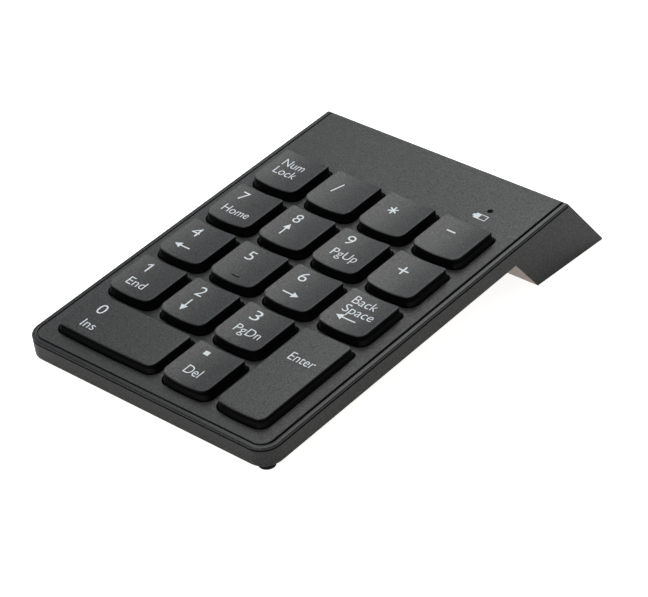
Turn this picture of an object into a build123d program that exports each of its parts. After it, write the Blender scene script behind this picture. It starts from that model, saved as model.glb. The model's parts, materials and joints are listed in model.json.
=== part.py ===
# Wireless numeric keypad: 18 plunger keys on a silicone dome sheet, wedge foot with two AAA cells,
# stowed USB receiver, sliding battery door, slide switch. Millimetres and degrees.
#
# deck frame: X to the right, Y to the rear, Z normal to the deck, Z = 0 on the deck surface.
# row frame:  X to the right, Y to the rear, Z up, Z = 0 on the desk, X = Y = 0 at the middle of
#             the footprint.
# The deck is tilted by TILT about X in the row frame. Everything is exported in the row frame.
from build123d import *

import operator
import os
from collections import namedtuple
from functools import reduce
from math import cos, radians, sin, tan

# ---------------------------------------------------------------- casing dimensions
PITCH = 19.0                 # key pitch, both ways
TILT = 5.0                   # deck slope, rising to the rear
HALF_W = 42.7                # half of the overall width
Y_FRONT = -60.0              # front face
Y_FOLD = 61.63               # where the rear slope meets the deck plane, before rounding
SLOPE = 55.6                 # wedge faces, below the deck plane
Z_FLOOR = -5.95              # underside of the slab
Y_INNER = 38.3               # where the wedge's front face meets the slab's underside
Z_REAR_LOW = -20.2           # rear bottom corner of the wedge
SLAB_REAR = 45.0             # the slab ends inside the wedge
PAD_PROUD = 0.25             # rubber pads stand proud of the wedge's underside
R_FRONT = 5.5                # plan radius of the front corners
R_REAR = 0.7                 # radius of the wedge's side edges at the rear
R_FOLD = 1.8                 # rounding between deck and rear slope
R_LOW = 0.3                  # rounding of the lower edges
GROOVE_X = 41.1              # middle of the groove round the deck panel
GROOVE_W = 0.35
GROOVE_IN = GROOVE_X - GROOVE_W / 2
GROOVE_OUT = GROOVE_X + GROOVE_W / 2
WALL = 1.3                   # side wall of the bottom shell
WEDGE_WALL = 1.5
FLOOR_TOP = -4.45            # inside floor of the slab
ROOF_BOT = -5.25             # underside of the plate over the battery bay
SHELL_TOP = -1.15            # top of the bottom shell's wall
DECK_T = 0.95                # deck panel thickness
UNDER_DECK = -DECK_T - 0.02  # top of the parts under the deck panel
RIM_TOP, RIM_BOT = -0.03, -0.90
NECK_TOP, NECK_BOT = -0.60, -1.35
FLANGE_W = 1.5
FLANGE_R = R_FRONT - WALL - 0.1 - 1.4    # inner corner radius of the rim's flange
LINER_INSET = WALL + 0.1     # parts inside the wall keep 0.1 clear of it
LINER_REAR = 59.6
FAR = 90.0                   # beyond the rear of everything
BIG = 200.0

COT_SLOPE = 1.0 / tan(radians(SLOPE))
SIN_TILT, COS_TILT = sin(radians(TILT)), cos(radians(TILT))


def rear_face_y(z, inset=0.0):
    """deck-frame Y of the wedge's rear face, moved into the wedge by inset"""
    return Y_FOLD - z * COT_SLOPE - inset / sin(radians(SLOPE))


def front_face_y(z, inset=0.0):
    """deck-frame Y of the wedge's front face, moved into the wedge by inset"""
    return Y_INNER + (Z_FLOOR - z) * COT_SLOPE + inset / sin(radians(SLOPE))


# front bottom corner of the wedge: its underside is parallel to the desk
Y_REAR_LOW = rear_face_y(Z_REAR_LOW)
Z_FRONT_LOW = ((Z_REAR_LOW + tan(radians(TILT)) * (Y_REAR_LOW - front_face_y(0)))
               / (1 - tan(radians(TILT)) * COT_SLOPE))
Y_FRONT_LOW = front_face_y(Z_FRONT_LOW)

# height of the deck frame's origin over the desk
DESK = -(Y_REAR_LOW * SIN_TILT + Z_REAR_LOW * COS_TILT) + PAD_PROUD
SHIFT_Y = -8.4155            # brings the footprint's middle to Y = 0
TO_ROW = Location((0, SHIFT_Y, DESK), (TILT, 0, 0))
TO_DECK = TO_ROW.inverse()


def row_from_deck(y, z):
    """row-frame (Y, Z) of a deck-frame point"""
    return (y * COS_TILT - z * SIN_TILT + SHIFT_Y, y * SIN_TILT + z * COS_TILT + DESK)


def deck_from_row(y, z):
    """deck-frame (Y, Z) of a row-frame point"""
    y, z = y - SHIFT_Y, z - DESK
    return (y * COS_TILT + z * SIN_TILT, -y * SIN_TILT + z * COS_TILT)


def inner_face_point(face_y, height):
    """deck-frame (Y, Z) where a wedge wall's inner face is at a height over the desk"""
    z = ((height - DESK - face_y(0, WEDGE_WALL) * SIN_TILT)
         / (COS_TILT - COT_SLOPE * SIN_TILT))
    return (face_y(z, WEDGE_WALL), z)


# ---------------------------------------------------------------- parts shared by several pieces
# screws, deck-frame (X, Y)
CASE_SCREWS = [(-39.35, 29.0), (39.35, 29.0), (-39.35, -17.35), (39.35, -17.35),
               (-0.4, 20.65), (-0.4, -36.35)]
BOARD_SCREWS = [(-30.0, 57.0), (16.0, 57.0)]
SCREW_R = 0.85
PILOT_R = 0.88
SCREW_PASS_R = 1.5           # holes in the sheets round the case screws
LED_XY = (27.05, 47.75)
PCB_TOP, PCB_BOT = -2.6, -3.6
SW_X, SW_Z = -6.0, -3.1      # middle of the slide switch

# battery cells lie along X, one behind the other
CELL_D = 10.5                # AAA cell
CELL_H = 7.3                 # height of both cell axes over the desk
CELL_PITCH = 10.8
CELL_A_X = (-16.6, 27.9)     # flat end, nub end
CELL_B_X = (24.6, -19.9)
CELL_A_Y = (row_from_deck(*inner_face_point(front_face_y, CELL_H))[0]
            + (CELL_D / 2) / sin(radians(SLOPE - TILT)) + 0.3)
CELL_B_Y = CELL_A_Y + CELL_PITCH
BAY_X = (-21.0, 29.0)
BAY_FLOOR = PAD_PROUD + 1.65             # over the desk
TAB_X = (28.45, 28.75)                   # plates of the right-hand contacts
TAB_HALF = 1.0                           # half width of the soldered tabs
TAB_YS = [deck_from_row(y, CELL_H)[0] for y in (CELL_A_Y, CELL_B_Y)]

DOOR_X = (-21.5, 29.5)
DOOR_T = 1.5
DOOR_LIP = 1.2                           # guide lips on both sides
DOOR_FRONT = row_from_deck(Y_FRONT_LOW, Z_FRONT_LOW)[0] + 3.0

FOOT_R = 2.3                             # round front feet
FOOT_INSET = 4.9
FOOT_X = HALF_W - FOOT_INSET
FOOT_Y, FOOT_SEAT = row_from_deck(Y_FRONT + FOOT_INSET, Z_FLOOR)
PAD_X, PAD_Y = 36.8, 62.3 + SHIFT_Y      # rear pads, row frame
PAD_L, PAD_W = 16.0, 7.0

# receiver, row frame, plug towards +X
GRIP_L, GRIP_W, GRIP_H = 6.7, 14.5, 6.2
PLUG_L, PLUG_W, PLUG_H = 12.0, 12.0, 4.5
RECEIVER_Y, RECEIVER_Z = 48.2, 7.0       # its axis
GRIP_START = -HALF_W + 0.3
GRIP_END = GRIP_START + GRIP_L
PLUG_START = GRIP_END - 1.95             # the plug is set into the grip
PLUG_END = GRIP_END + PLUG_L


# ---------------------------------------------------------------- helpers
def span(middle, half):
    return (middle - half, middle + half)


def box(x_span, y_span, z_span):
    """box between two limits on each axis, in either order"""
    spans = (x_span, y_span, z_span)
    return Pos(*[sum(s) / 2 for s in spans]) * Box(*[abs(s[1] - s[0]) for s in spans])


def cyl(x, y, z_from, z_to, radius):
    return Pos(x, y, (z_from + z_to) / 2) * Cylinder(radius, abs(z_to - z_from))


def cyl_x(x_from, x_to, y, z, radius):
    return Pos((x_from + x_to) / 2, y, z) * Rot(0, 90, 0) * Cylinder(radius, abs(x_to - x_from))


def yz_face(points, x):
    return make_face(Polyline(*[(x, y, z) for y, z in points], close=True))


def prism(points, x_from, x_to):
    """polygon in Y, Z drawn along X"""
    return extrude(yz_face(points, x_from), amount=x_to - x_from, dir=(1, 0, 0))


def rise(face, height):
    return extrude(face, amount=height, dir=(0, 0, 1))


def joined(shapes):
    """shapes fused one after the other"""
    return reduce(operator.add, shapes)


def one(shape):
    """a single solid out of a boolean result"""
    solids = shape.solids()
    return solids[0] if len(solids) == 1 else shape


def plate(half_width, front, rear, radius, z_from, z_to):
    """plate with rounded front corners and a square rear"""
    corners = [(-half_width, front, 0), (half_width, front, 0),
               (half_width, rear, 0), (-half_width, rear, 0)]
    face = make_face(Polyline(*corners, close=True))
    face = fillet([v for v in face.vertices() if v.Y < front + 0.01], radius)
    return Pos(0, 0, z_from) * rise(face, z_to - z_from)


def inset_plate(half_width, rear, z_from, z_to, radius=None):
    """plate whose sides and front are inset alike from the casing"""
    inset = HALF_W - half_width
    if radius is None:
        radius = R_FRONT - inset
    return plate(half_width, Y_FRONT + inset, rear, radius, z_from, z_to)


def rod(points, radius):
    """round wire through points, with ball corners"""
    pieces = []
    for start, end in zip(points, points[1:]):
        start, end = Vector(*start), Vector(*end)
        length = (end - start).length
        pieces.append(Plane(origin=start, z_dir=(end - start))
                      * Pos(0, 0, length / 2) * Cylinder(radius, length))
    return joined(pieces + [Pos(*p) * Sphere(radius) for p in points[1:-1]])


def cross_recess(x, y, half_length, half_width, z_from, z_to):
    return (box(span(x, half_length), span(y, half_width), (z_from, z_to))
            + box(span(x, half_width), span(y, half_length), (z_from, z_to)))


# ---------------------------------------------------------------- key layout and sizes
COLS = [-28.9 + PITCH * i for i in range(4)]     # the key field stands 0.4 mm left of the middle
ROWS = [PITCH * i for i in (2, 1, 0, -1, -2)]    # rear edges of the key tops
CAP_W, CAP_D = 15.7, 15.75   # key top, single key
CAP_BOW = 0.6                # bow of the front edge
CAP_FRONT_R, CAP_REAR_R = 2.4, 1.0
CAP_EDGE_Z = 3.0             # key top at its side edges
CAP_MID_Z = 2.5              # key top along its middle
CAP_BASE_Z = -0.3            # lower edge of the skirt at rest
CAP_FLARE = 0.5              # skirt flare at the lower edge
FLARE_Z = 1.2                # flare starts here
CAP_CEIL = 1.5               # inside ceiling
CAP_ROOT = CAP_CEIL + 0.2    # features under the cap reach into its roof
CAP_WALL = 1.0
CAP_ROUND = 0.35             # upper edge
TRAVEL = 2.0                 # key travel
WELL_GAP = 0.35              # gap round the skirt
WELL_FLOOR = -2.5
FRAME_BOT = -3.3
SLEEVE_TOP = -0.7
SLEEVE_ID, SLEEVE_OD = 8.0, 9.6
PLUNGER_OD, PLUNGER_ID = 7.9, 6.9        # 0.05 mm radial running clearance in the sleeve
PLUNGER_BOT = -1.8
POST_D, POST_BOT = 3.0, -1.0
LUG_W, LUG_START, LUG_END = 1.7, 3.6, 4.4    # retaining lugs on the plunger
LUG_TOP = PLUNGER_BOT + 0.65
TOUCH_BAR = (2.8, 0.6, 0.5)

# stabilizer wire: feet turn in eyes on the frame, the bar hangs in clips under the cap
WIRE_R, WIRE_ARM, WIRE_HALF = 0.4, 7.5, 12.0
WIRE_Z = -1.2                    # axis of the feet
BAR_Z = WIRE_Z + TRAVEL / 2      # the bar stands this high at rest
WIRE_FOOT = -1.7                 # offset of the feet's axis from the key's middle
WIRE_REACH = (WIRE_ARM ** 2 - (TRAVEL / 2) ** 2) ** 0.5
WIRE_BAR = WIRE_FOOT + WIRE_REACH
FOOT_TIP = 10.0
CLIP_Y = WIRE_FOOT + (WIRE_REACH + WIRE_ARM) / 2
CLIP_X = (8.2, 9.8)
CLIP_ROOM = (7.9, 10.1)
EYE_X = (10.15, 11.4)
BAR_ROOM = (5.05, 6.65)          # slot over the bar, along Y

Key = namedtuple("Key", "x rear width depth bow dished")
GRID_NAMES = [
    ("num_lock", "divide", "multiply", "subtract"),
    ("7", "8", "9", "add"),
    ("4", "5", "6", "backspace"),
    ("1", "2", "3"),
]
KEYS = {
    f"key_{label}": Key(x, rear, CAP_W, CAP_D, CAP_BOW, True)
    for rear, labels in zip(ROWS, GRID_NAMES) for x, label in zip(COLS, labels)
}
KEYS["key_enter"] = Key(COLS[3], ROWS[3], CAP_W, CAP_D + PITCH, CAP_BOW, False)
KEYS["key_0"] = Key((COLS[0] + COLS[1]) / 2, ROWS[4], CAP_W + PITCH, 15.4, 0.35, False)
KEYS["key_decimal"] = Key(COLS[2], ROWS[4], CAP_W, CAP_D, CAP_BOW, True)
LONG_KEYS = ("key_0", "key_enter")


def plunger_at(name):
    """(X, Y) of a key's plunger"""
    key = KEYS[name]
    return (key.x, key.rear - (key.depth if name in LONG_KEYS else CAP_W) / 2)


def at_plunger(name):
    return Pos(*plunger_at(name), 0)


def turned_for(name, shape):
    """drawn for a wide key; the tall key uses it turned by a quarter"""
    return Rot(0, 0, -90) * shape if name == "key_enter" else shape


def outline(key, grow, z):
    """key outline: rear edge on Y = 0, bowed front edge at Y = -depth, grown all round"""
    half, rear, front = key.width / 2 + grow, grow, -(key.depth + grow)
    side = front + key.bow
    face = make_face([
        Line((-half, rear, 0), (half, rear, 0)),
        Line((half, rear, 0), (half, side, 0)),
        ThreePointArc((half, side, 0), (0, front, 0), (-half, side, 0)),
        Line((-half, side, 0), (-half, rear, 0)),
    ])
    face = fillet([v for v in face.vertices() if v.Y < rear - 1], CAP_FRONT_R + grow)
    rear_corners = [v for v in face.vertices() if v.Y > rear - 0.01 and abs(v.X) > half - 0.01]
    return Pos(0, 0, z) * fillet(rear_corners, max(CAP_REAR_R + grow, 0.3))


def key_openings(z):
    """5 mm high blocks over z, as large as the wells"""
    return joined(Pos(key.x, key.rear, 0) * rise(outline(key, CAP_FLARE + WELL_GAP, z), 5)
                  for key in KEYS.values())


# ---------------------------------------------------------------- keycaps
def flared_body(key, grow, top, overlap):
    """upright part over a flared skirt"""
    upright = rise(outline(key, grow, FLARE_Z - overlap), top - FLARE_Z + overlap)
    skirt = [outline(key, grow + CAP_FLARE, CAP_BASE_Z), outline(key, grow, FLARE_Z)]
    return upright + loft(skirt, ruled=True)


def cap_body(key):
    body = flared_body(key, 0, CAP_EDGE_Z if key.dished else CAP_MID_Z, 0)
    if key.dished:
        dip = CAP_EDGE_Z - CAP_MID_Z
        radius = (key.width / 2) ** 2 / (2 * dip) + dip / 2
        body -= (Pos(0, -key.depth / 2, CAP_MID_Z + radius) * Rot(90, 0, 0)
                 * Cylinder(radius, key.depth + 4))
    top_edges = [e for e in body.edges() if e.bounding_box().min.Z > FLARE_Z + 0.8]
    body = fillet(top_edges, CAP_ROUND)
    return body - flared_body(key, -CAP_WALL, CAP_CEIL, 0.01)


def plunger(name):
    """hollow plunger with a middle post and two retaining lugs"""
    stem = (cyl(0, 0, PLUNGER_BOT, CAP_ROOT, PLUNGER_OD / 2)
            - cyl(0, 0, PLUNGER_BOT - 1, CAP_CEIL, PLUNGER_ID / 2))
    stem += cyl(0, 0, POST_BOT, CAP_ROOT, POST_D / 2)
    lugs = joined(box((side * LUG_START, side * LUG_END), span(0, LUG_W / 2),
                      (PLUNGER_BOT, LUG_TOP)) for side in (-1, 1))
    return stem + turned_for(name, lugs)


def stab_clips():
    return joined(box((side * CLIP_X[0], side * CLIP_X[1]), span(CLIP_Y, 0.95),
                      (BAR_Z - 0.95, CAP_ROOT)) for side in (-1, 1))


def stab_clearance():
    """room for the frame's eyes, and the bores of the clips"""
    cuts = []
    for side in (-1, 1):
        cuts.append(box((side * 9.7, side * 12.0), span(WIRE_FOOT, 1.5), (0.0, CAP_CEIL + 0.45)))
        cuts.append(cyl_x(side * CLIP_ROOM[0], side * CLIP_ROOM[1], CLIP_Y, BAR_Z, WIRE_R + 0.1))
    return joined(cuts)


def keycap(name):
    key = KEYS[name]
    here = at_plunger(name)
    body = Pos(key.x, key.rear, 0) * cap_body(key)
    body += here * plunger(name)
    if name in LONG_KEYS:
        body += here * turned_for(name, stab_clips())
        body -= here * turned_for(name, stab_clearance())
    if name == "key_5":      # raised touch bar near the front edge
        bar = fillet(Box(*TOUCH_BAR).edges().filter_by(Axis.Z), 0.25)
        body += Pos(key.x, key.rear - CAP_D + 2.9, CAP_MID_Z + 0.02) * bar
    return one(body)


def stab_wire(name):
    points = [
        (-FOOT_TIP, WIRE_FOOT, WIRE_Z), (-WIRE_HALF, WIRE_FOOT, WIRE_Z),
        (-WIRE_HALF, WIRE_BAR, BAR_Z), (WIRE_HALF, WIRE_BAR, BAR_Z),
        (WIRE_HALF, WIRE_FOOT, WIRE_Z), (FOOT_TIP, WIRE_FOOT, WIRE_Z),
    ]
    return one(at_plunger(name) * turned_for(name, rod(points, WIRE_R)))


# ---------------------------------------------------------------- casing
def outer_body():
    """the casing's full outside shape"""
    # slab with rounded front corners and a rounded lower edge
    slab = plate(HALF_W, Y_FRONT, SLAB_REAR, R_FRONT, Z_FLOOR, 0)
    lower = [e for e in slab.edges()
             if e.bounding_box().max.Z < Z_FLOOR + 0.01 and e.center().Y < SLAB_REAR - 1]
    slab = fillet(lower, R_LOW)
    # wedge with slanted front and rear faces
    profile = [(front_face_y(0), 0), (Y_FOLD, 0), (Y_REAR_LOW, Z_REAR_LOW),
               (Y_FRONT_LOW, Z_FRONT_LOW)]
    face = yz_face(profile, -HALF_W)
    for (y, z), radius in zip(profile[1:], (R_FOLD, R_LOW, R_LOW)):
        corner = [v for v in face.vertices() if abs(v.Y - y) < 0.01 and abs(v.Z - z) < 0.01]
        face = fillet(corner, radius)
    body = slab + extrude(face, amount=2 * HALF_W, dir=(1, 0, 0))
    # rear corners, rounded along the slope of the rear face
    z = 6.0
    rear = rear_face_y(z)
    cover = make_face(Polyline((-HALF_W, -FAR, z), (HALF_W, -FAR, z),
                               (HALF_W, rear, z), (-HALF_W, rear, z), close=True))
    cover = fillet([v for v in cover.vertices() if v.Y > rear - 0.01], R_REAR)
    down_slope = (0, cos(radians(SLOPE)), -sin(radians(SLOPE)))
    return one(body & extrude(cover, amount=45, dir=down_slope))


OUTER = outer_body()


def deck_panel():
    panel = OUTER & inset_plate(GROOVE_IN, FAR, -DECK_T, 1)
    panel -= key_openings(-3)
    panel -= cyl(*LED_XY, -3, 3, 0.65)
    return one(panel)


def rim_ring():
    """visible strip round the deck panel, open at the rear, with a flange on the key frame"""
    liner = HALF_W - LINER_INSET
    rim = OUTER & plate(HALF_W + 1, Y_FRONT - 1, FAR, R_FRONT, RIM_BOT, RIM_TOP)
    rim -= inset_plate(GROOVE_OUT, FAR, -5, 5)
    # lower neck closes the groove from below
    neck = inset_plate(liner, LINER_REAR, NECK_BOT, NECK_TOP)
    neck -= inset_plate(GROOVE_IN + 0.05, FAR, -5, 5)
    tie = inset_plate(HALF_W - 1.0, LINER_REAR, RIM_BOT, NECK_TOP)
    tie -= inset_plate(GROOVE_IN + 0.05, FAR, -5, 5)
    flange = inset_plate(liner, LINER_REAR, NECK_BOT, UNDER_DECK)
    flange -= inset_plate(liner - FLANGE_W, FAR, -5, 5, FLANGE_R)
    return one(rim + neck + tie + flange)


def plunger_bore(name):
    """bore and lug slots of a sleeve, with room for the stabilizer wire under a long key"""
    below = FRAME_BOT - 1
    lug_slots = joined(box((side * 3.5, side * (LUG_END + 0.12)), span(0, LUG_W / 2 + 0.15),
                           (below, LUG_TOP + 0.05)) for side in (-1, 1))
    bore = cyl(0, 0, below, 2, SLEEVE_ID / 2) + turned_for(name, lug_slots)
    bore = at_plunger(name) * bore
    if name not in LONG_KEYS:
        return bore
    arm_out = WIRE_HALF + 0.8
    room = [box((-arm_out, arm_out), BAR_ROOM, (below, 0))]
    for side in (-1, 1):
        room += [
            box((side * CLIP_ROOM[0], side * CLIP_ROOM[1]), span(CLIP_Y, 1.2), (below, 0)),
            box((side * 11.3, side * arm_out), (3.0, BAR_ROOM[1]), (below, 0)),
            cyl_x(side * 9.5, side * 11.5, WIRE_FOOT, WIRE_Z, WIRE_R + 0.05),
        ]
    return bore + at_plunger(name) * turned_for(name, joined(room))


def wire_eye(name, side):
    eye = box((side * EYE_X[0], side * EYE_X[1]), span(WIRE_FOOT, 1.0),
              (WELL_FLOOR - 0.2, WIRE_Z + WIRE_R + 0.4))
    return at_plunger(name) * turned_for(name, eye)


def key_frame():
    """plate and well block inside the bottom shell's walls"""
    liner = HALF_W - LINER_INSET
    frame = (inset_plate(liner, LINER_REAR, -1.95, UNDER_DECK)
             + inset_plate(liner, 40.4, FRAME_BOT, UNDER_DECK))
    # rebate for the rim ring's flange
    rebate = plate(liner + 1, Y_FRONT, 70, R_FRONT - LINER_INSET, NECK_BOT - 0.02, 0.63)
    rebate -= inset_plate(liner - FLANGE_W - 0.05, FAR, -5, 5, FLANGE_R - 0.05)
    frame -= rebate
    sleeves = joined(cyl(*plunger_at(name), WELL_FLOOR - 0.2, SLEEVE_TOP, SLEEVE_OD / 2)
                     for name in KEYS)
    frame = frame - key_openings(WELL_FLOOR) + sleeves
    frame += joined(wire_eye(name, side)
                    for name in KEYS if name in LONG_KEYS for side in (-1, 1))
    # bosses for the board screws, hanging from the plate
    for x, y in BOARD_SCREWS:
        frame += cyl(x, y, -2.55, -1.5, 2.0)
    cuts = [plunger_bore(name) for name in KEYS]
    cuts += [cyl(x, y, -4, -1.75, PILOT_R) for x, y in CASE_SCREWS]
    cuts += [cyl(x, y, -4, -1.35, PILOT_R) for x, y in BOARD_SCREWS]
    cuts.append(cyl(*LED_XY, -3, 0, 0.95))
    return one(frame - joined(cuts))


def wedge_cavity(x_from, x_to, z_top):
    """space inside the wedge between its slanted walls, over its bottom wall"""
    profile = [
        (rear_face_y(z_top, WEDGE_WALL), z_top),
        inner_face_point(rear_face_y, BAY_FLOOR),
        inner_face_point(front_face_y, BAY_FLOOR),
        (front_face_y(z_top, WEDGE_WALL), z_top),
    ]
    return prism(profile, x_from, x_to)


def around_receiver(x_from, x_to, width, height, grow=0.0):
    """row-frame box centred on the receiver's axis, grown in Y and Z"""
    return box((x_from, x_to), span(RECEIVER_Y, width / 2 + grow),
               span(RECEIVER_Z, height / 2 + grow))


def dock_hole():
    """room for grip and plug, with two thumb notches at the mouth"""
    hole = around_receiver(-HALF_W - 2, GRIP_END + 0.3, GRIP_W, GRIP_H, 0.25)
    hole += around_receiver(-HALF_W + 2, PLUG_END + 0.4, PLUG_W, PLUG_H, 0.2)
    for side in (1, -1):
        z = RECEIVER_Z + side * (GRIP_H / 2 + 0.2)
        hole += Pos(-HALF_W, RECEIVER_Y, z) * Sphere(2.6)
    return hole


def door_opening():
    """row-frame opening for the door, with side grooves for its lips"""
    y_span = (DOOR_FRONT - 0.15, 120)
    return (box((DOOR_X[0] - 0.15, DOOR_X[1] + 0.15), y_span, (-1, PAD_PROUD + 0.72))
            + box((DOOR_X[0] - 1.4, DOOR_X[1] + 1.4), y_span, (PAD_PROUD + 0.70, BAY_FLOOR)))


def pad_shape(side, z_from, z_to, grow=0.0):
    slot = SlotOverall(PAD_L + 2 * grow, PAD_W + 2 * grow, rotation=90)
    return rise(Pos(side * PAD_X, PAD_Y, z_from) * slot, z_to - z_from)


def bottom_shell():
    shell = OUTER & box((-BIG, BIG), (-BIG, BIG), (-BIG, SHELL_TOP))
    # slab cavity, ending at the slanted rear wall
    inside = HALF_W - WALL
    cavity = inset_plate(inside, FAR, FLOOR_TOP, FLOOR_TOP + 10)
    limit = [(-70, FLOOR_TOP), (rear_face_y(FLOOR_TOP, WEDGE_WALL), FLOOR_TOP),
             (rear_face_y(3, WEDGE_WALL), 3), (-70, 3)]
    shell -= cavity & prism(limit, -BIG, BIG)
    # battery bay, side compartments
    shell -= wedge_cavity(*BAY_X, ROOF_BOT)
    shell -= wedge_cavity(-inside, BAY_X[0] - 1.2, FLOOR_TOP + 0.01)
    shell -= wedge_cavity(BAY_X[1] + 1.2, inside, FLOOR_TOP + 0.01)
    shell -= TO_DECK * door_opening()
    # receiver dock: a square tube from the left wall
    shell += TO_DECK * around_receiver(-HALF_W + 0.5, BAY_X[0] - 0.6, GRIP_W, GRIP_H, 1.5)
    shell -= TO_DECK * dock_hole()
    # screw holes with countersinks
    for x, y in CASE_SCREWS:
        shell -= cyl(x, y, -7, 0, 1.05)
        shell -= Pos(x, y, Z_FLOOR + 0.45) * Cone(1.85, 1.05, 0.9)
    # slots for the contact tabs through the roof of the bay
    for y in TAB_YS:
        shell -= box((TAB_X[0] - 0.15, TAB_X[1] + 0.15), span(y, TAB_HALF + 0.3),
                     (ROOF_BOT - 1, 0))
    # board posts on the roof plate
    for x, y in [(-18, 43.2), (24.5, 43.2)]:
        shell += cyl(x, y, FLOOR_TOP - 0.1, PCB_BOT - 0.02, 1.6)
    # slot for the switch lever in the rear wall
    shell -= box(span(SW_X, 2.9), span(rear_face_y(SW_Z), 4), span(SW_Z, 0.75))
    # recesses for feet and pads
    for side in (-1, 1):
        shell -= TO_DECK * cyl(side * FOOT_X, FOOT_Y, FOOT_SEAT - 3, FOOT_SEAT + 0.55,
                               FOOT_R + 0.1)
        shell -= TO_DECK * pad_shape(side, -1, PAD_PROUD + 0.6, 0.1)
    return one(shell)


def battery_door():
    rear = row_from_deck(Y_REAR_LOW, Z_REAR_LOW)[0]
    top = PAD_PROUD + DOOR_T
    y_span = (DOOR_FRONT, rear + 5)
    door = box(DOOR_X, y_span, (PAD_PROUD, top))
    door += box((DOOR_X[0] - DOOR_LIP, DOOR_X[1] + DOOR_LIP), y_span, (PAD_PROUD + 0.82, top))
    door = door & (TO_ROW * OUTER)
    # grip grooves near the rear edge
    for i in range(6):
        y = rear - 4.0 - 1.6 * i
        door -= box((-6, 14), span(y, 0.35), (PAD_PROUD - 1, PAD_PROUD + 0.35))
    return one(door)


def front_foot(side):
    foot = cyl(side * FOOT_X, FOOT_Y, 0, FOOT_SEAT + 0.45, FOOT_R)
    lower = [e for e in foot.edges() if e.geom_type == GeomType.CIRCLE and e.center().Z < 0.1]
    return one(fillet(lower, 0.2))


def rear_pad(side):
    return one(pad_shape(side, 0, PAD_PROUD + 0.55))


# ---------------------------------------------------------------- cells and contacts, row frame
CONTACT_T = 0.3
CONTACT_Z = (CELL_H - 3.5, CELL_H + 3.2)
CONTACT_HALF = 3.6           # plates reach this far past a cell's axis
BUTTON_R = 2.4               # raised button that meets a nub
SPRING_R, SPRING_WIRE_R, SPRING_TURNS = 2.6, 0.28, 3.0
BRIDGE_X = (BAY_X[0] + 0.05, BAY_X[0] + 0.05 + CONTACT_T)


def cell(x_flat, x_nub, y):
    """AAA cell along X, from its flat end to its nub"""
    sign = 1 if x_nub > x_flat else -1
    can = cyl_x(x_flat, x_nub - sign * 1.0, y, CELL_H, CELL_D / 2)
    can = fillet([e for e in can.edges() if e.geom_type == GeomType.CIRCLE], 0.4)
    return one(can + cyl_x(x_nub - sign * 1.3, x_nub, y, CELL_H, 1.9))


def contact_bridge():
    """one plate across both cells at the left end, with a raised button for the nub"""
    bridge = box(BRIDGE_X, (CELL_A_Y - CONTACT_HALF, CELL_B_Y + CONTACT_HALF), CONTACT_Z)
    bridge += cyl_x(BRIDGE_X[1] - 0.05, CELL_B_X[1] - 0.05, CELL_B_Y, CELL_H, BUTTON_R)
    return one(bridge)


def contact_end(cell_y, button):
    """right-hand contact with a tab up to the board, in the deck frame"""
    contact = box(TAB_X, span(cell_y, CONTACT_HALF), CONTACT_Z)
    if button:
        contact += cyl_x(CELL_A_X[1] + 0.05, TAB_X[0] + 0.05, cell_y, CELL_H, BUTTON_R)
    y, z = deck_from_row(cell_y, CELL_H)
    tab = box(TAB_X, span(y, TAB_HALF), (z + 1.0, PCB_BOT + 0.6))
    return one(TO_DECK * contact + tab)


def spring(x_plate, x_cell, y):
    """contact spring along X from a plate to a cell"""
    length = abs(x_cell - x_plate) - 2 * SPRING_WIRE_R - 0.06
    path = Helix(pitch=length / SPRING_TURNS, height=length, radius=SPRING_R)
    coil = sweep(Plane(origin=path @ 0, z_dir=path % 0) * Circle(SPRING_WIRE_R), path=path)
    sign = 1 if x_cell > x_plate else -1
    start = x_plate + sign * (SPRING_WIRE_R + 0.03)
    return one(Pos(start, y, CELL_H) * Rot(0, 90 * sign, 0) * coil)


def contact_springs():
    return Compound(children=[spring(BRIDGE_X[1], CELL_A_X[0], CELL_A_Y),
                              spring(TAB_X[0], CELL_B_X[0], CELL_B_Y)])


# ---------------------------------------------------------------- dome sheet and membranes
WEB_TOP, WEB_BOT = -3.85, -4.10      # silicone sheet
SHEET_W, SHEET_D, SHEET_Y = 80.6, 97.0, -9.5
SHEET_R = 3.0
MEM_T = 0.10
MEM_GROW = 0.6                       # membranes are this much wider and deeper than the sheet
TAIL_X, TAIL_Y = (-8, 8), (38, 51.0)
SPACER = 1                           # middle layer of the three

# half sections of a dome: radius, deck Z
DOME_OUTSIDE = [(0, WEB_BOT), (3.3, WEB_BOT), (3.3, WEB_TOP + 0.3), (2.1, -1.75),
                (1.9, -1.0), (0, -1.0)]
DOME_INSIDE = [(0, WEB_BOT - 1), (2.75, WEB_BOT - 1), (2.75, WEB_TOP + 0.15), (1.65, -2.1),
               (1.1, -2.1), (1.1, -2.9), (0, -2.9)]


def revolved(points):
    return revolve(Plane.XZ * make_face(Polyline(*points, close=True)), Axis.Z)


def sheet_screw_holes():
    return [cyl(x, y, -6, 0, SCREW_PASS_R) for x, y in CASE_SCREWS]


def dome_sheet():
    sheet = rise(Pos(0, 0, WEB_BOT) * RectangleRounded(SHEET_W, SHEET_D, SHEET_R),
                 WEB_TOP - WEB_BOT)
    sheet = Pos(0, SHEET_Y, 0) * sheet
    for name in KEYS:
        sheet += at_plunger(name) * revolved(DOME_OUTSIDE)
    hollows = [at_plunger(name) * revolved(DOME_INSIDE) for name in KEYS]
    return one(sheet - joined(hollows + sheet_screw_holes()))


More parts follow.
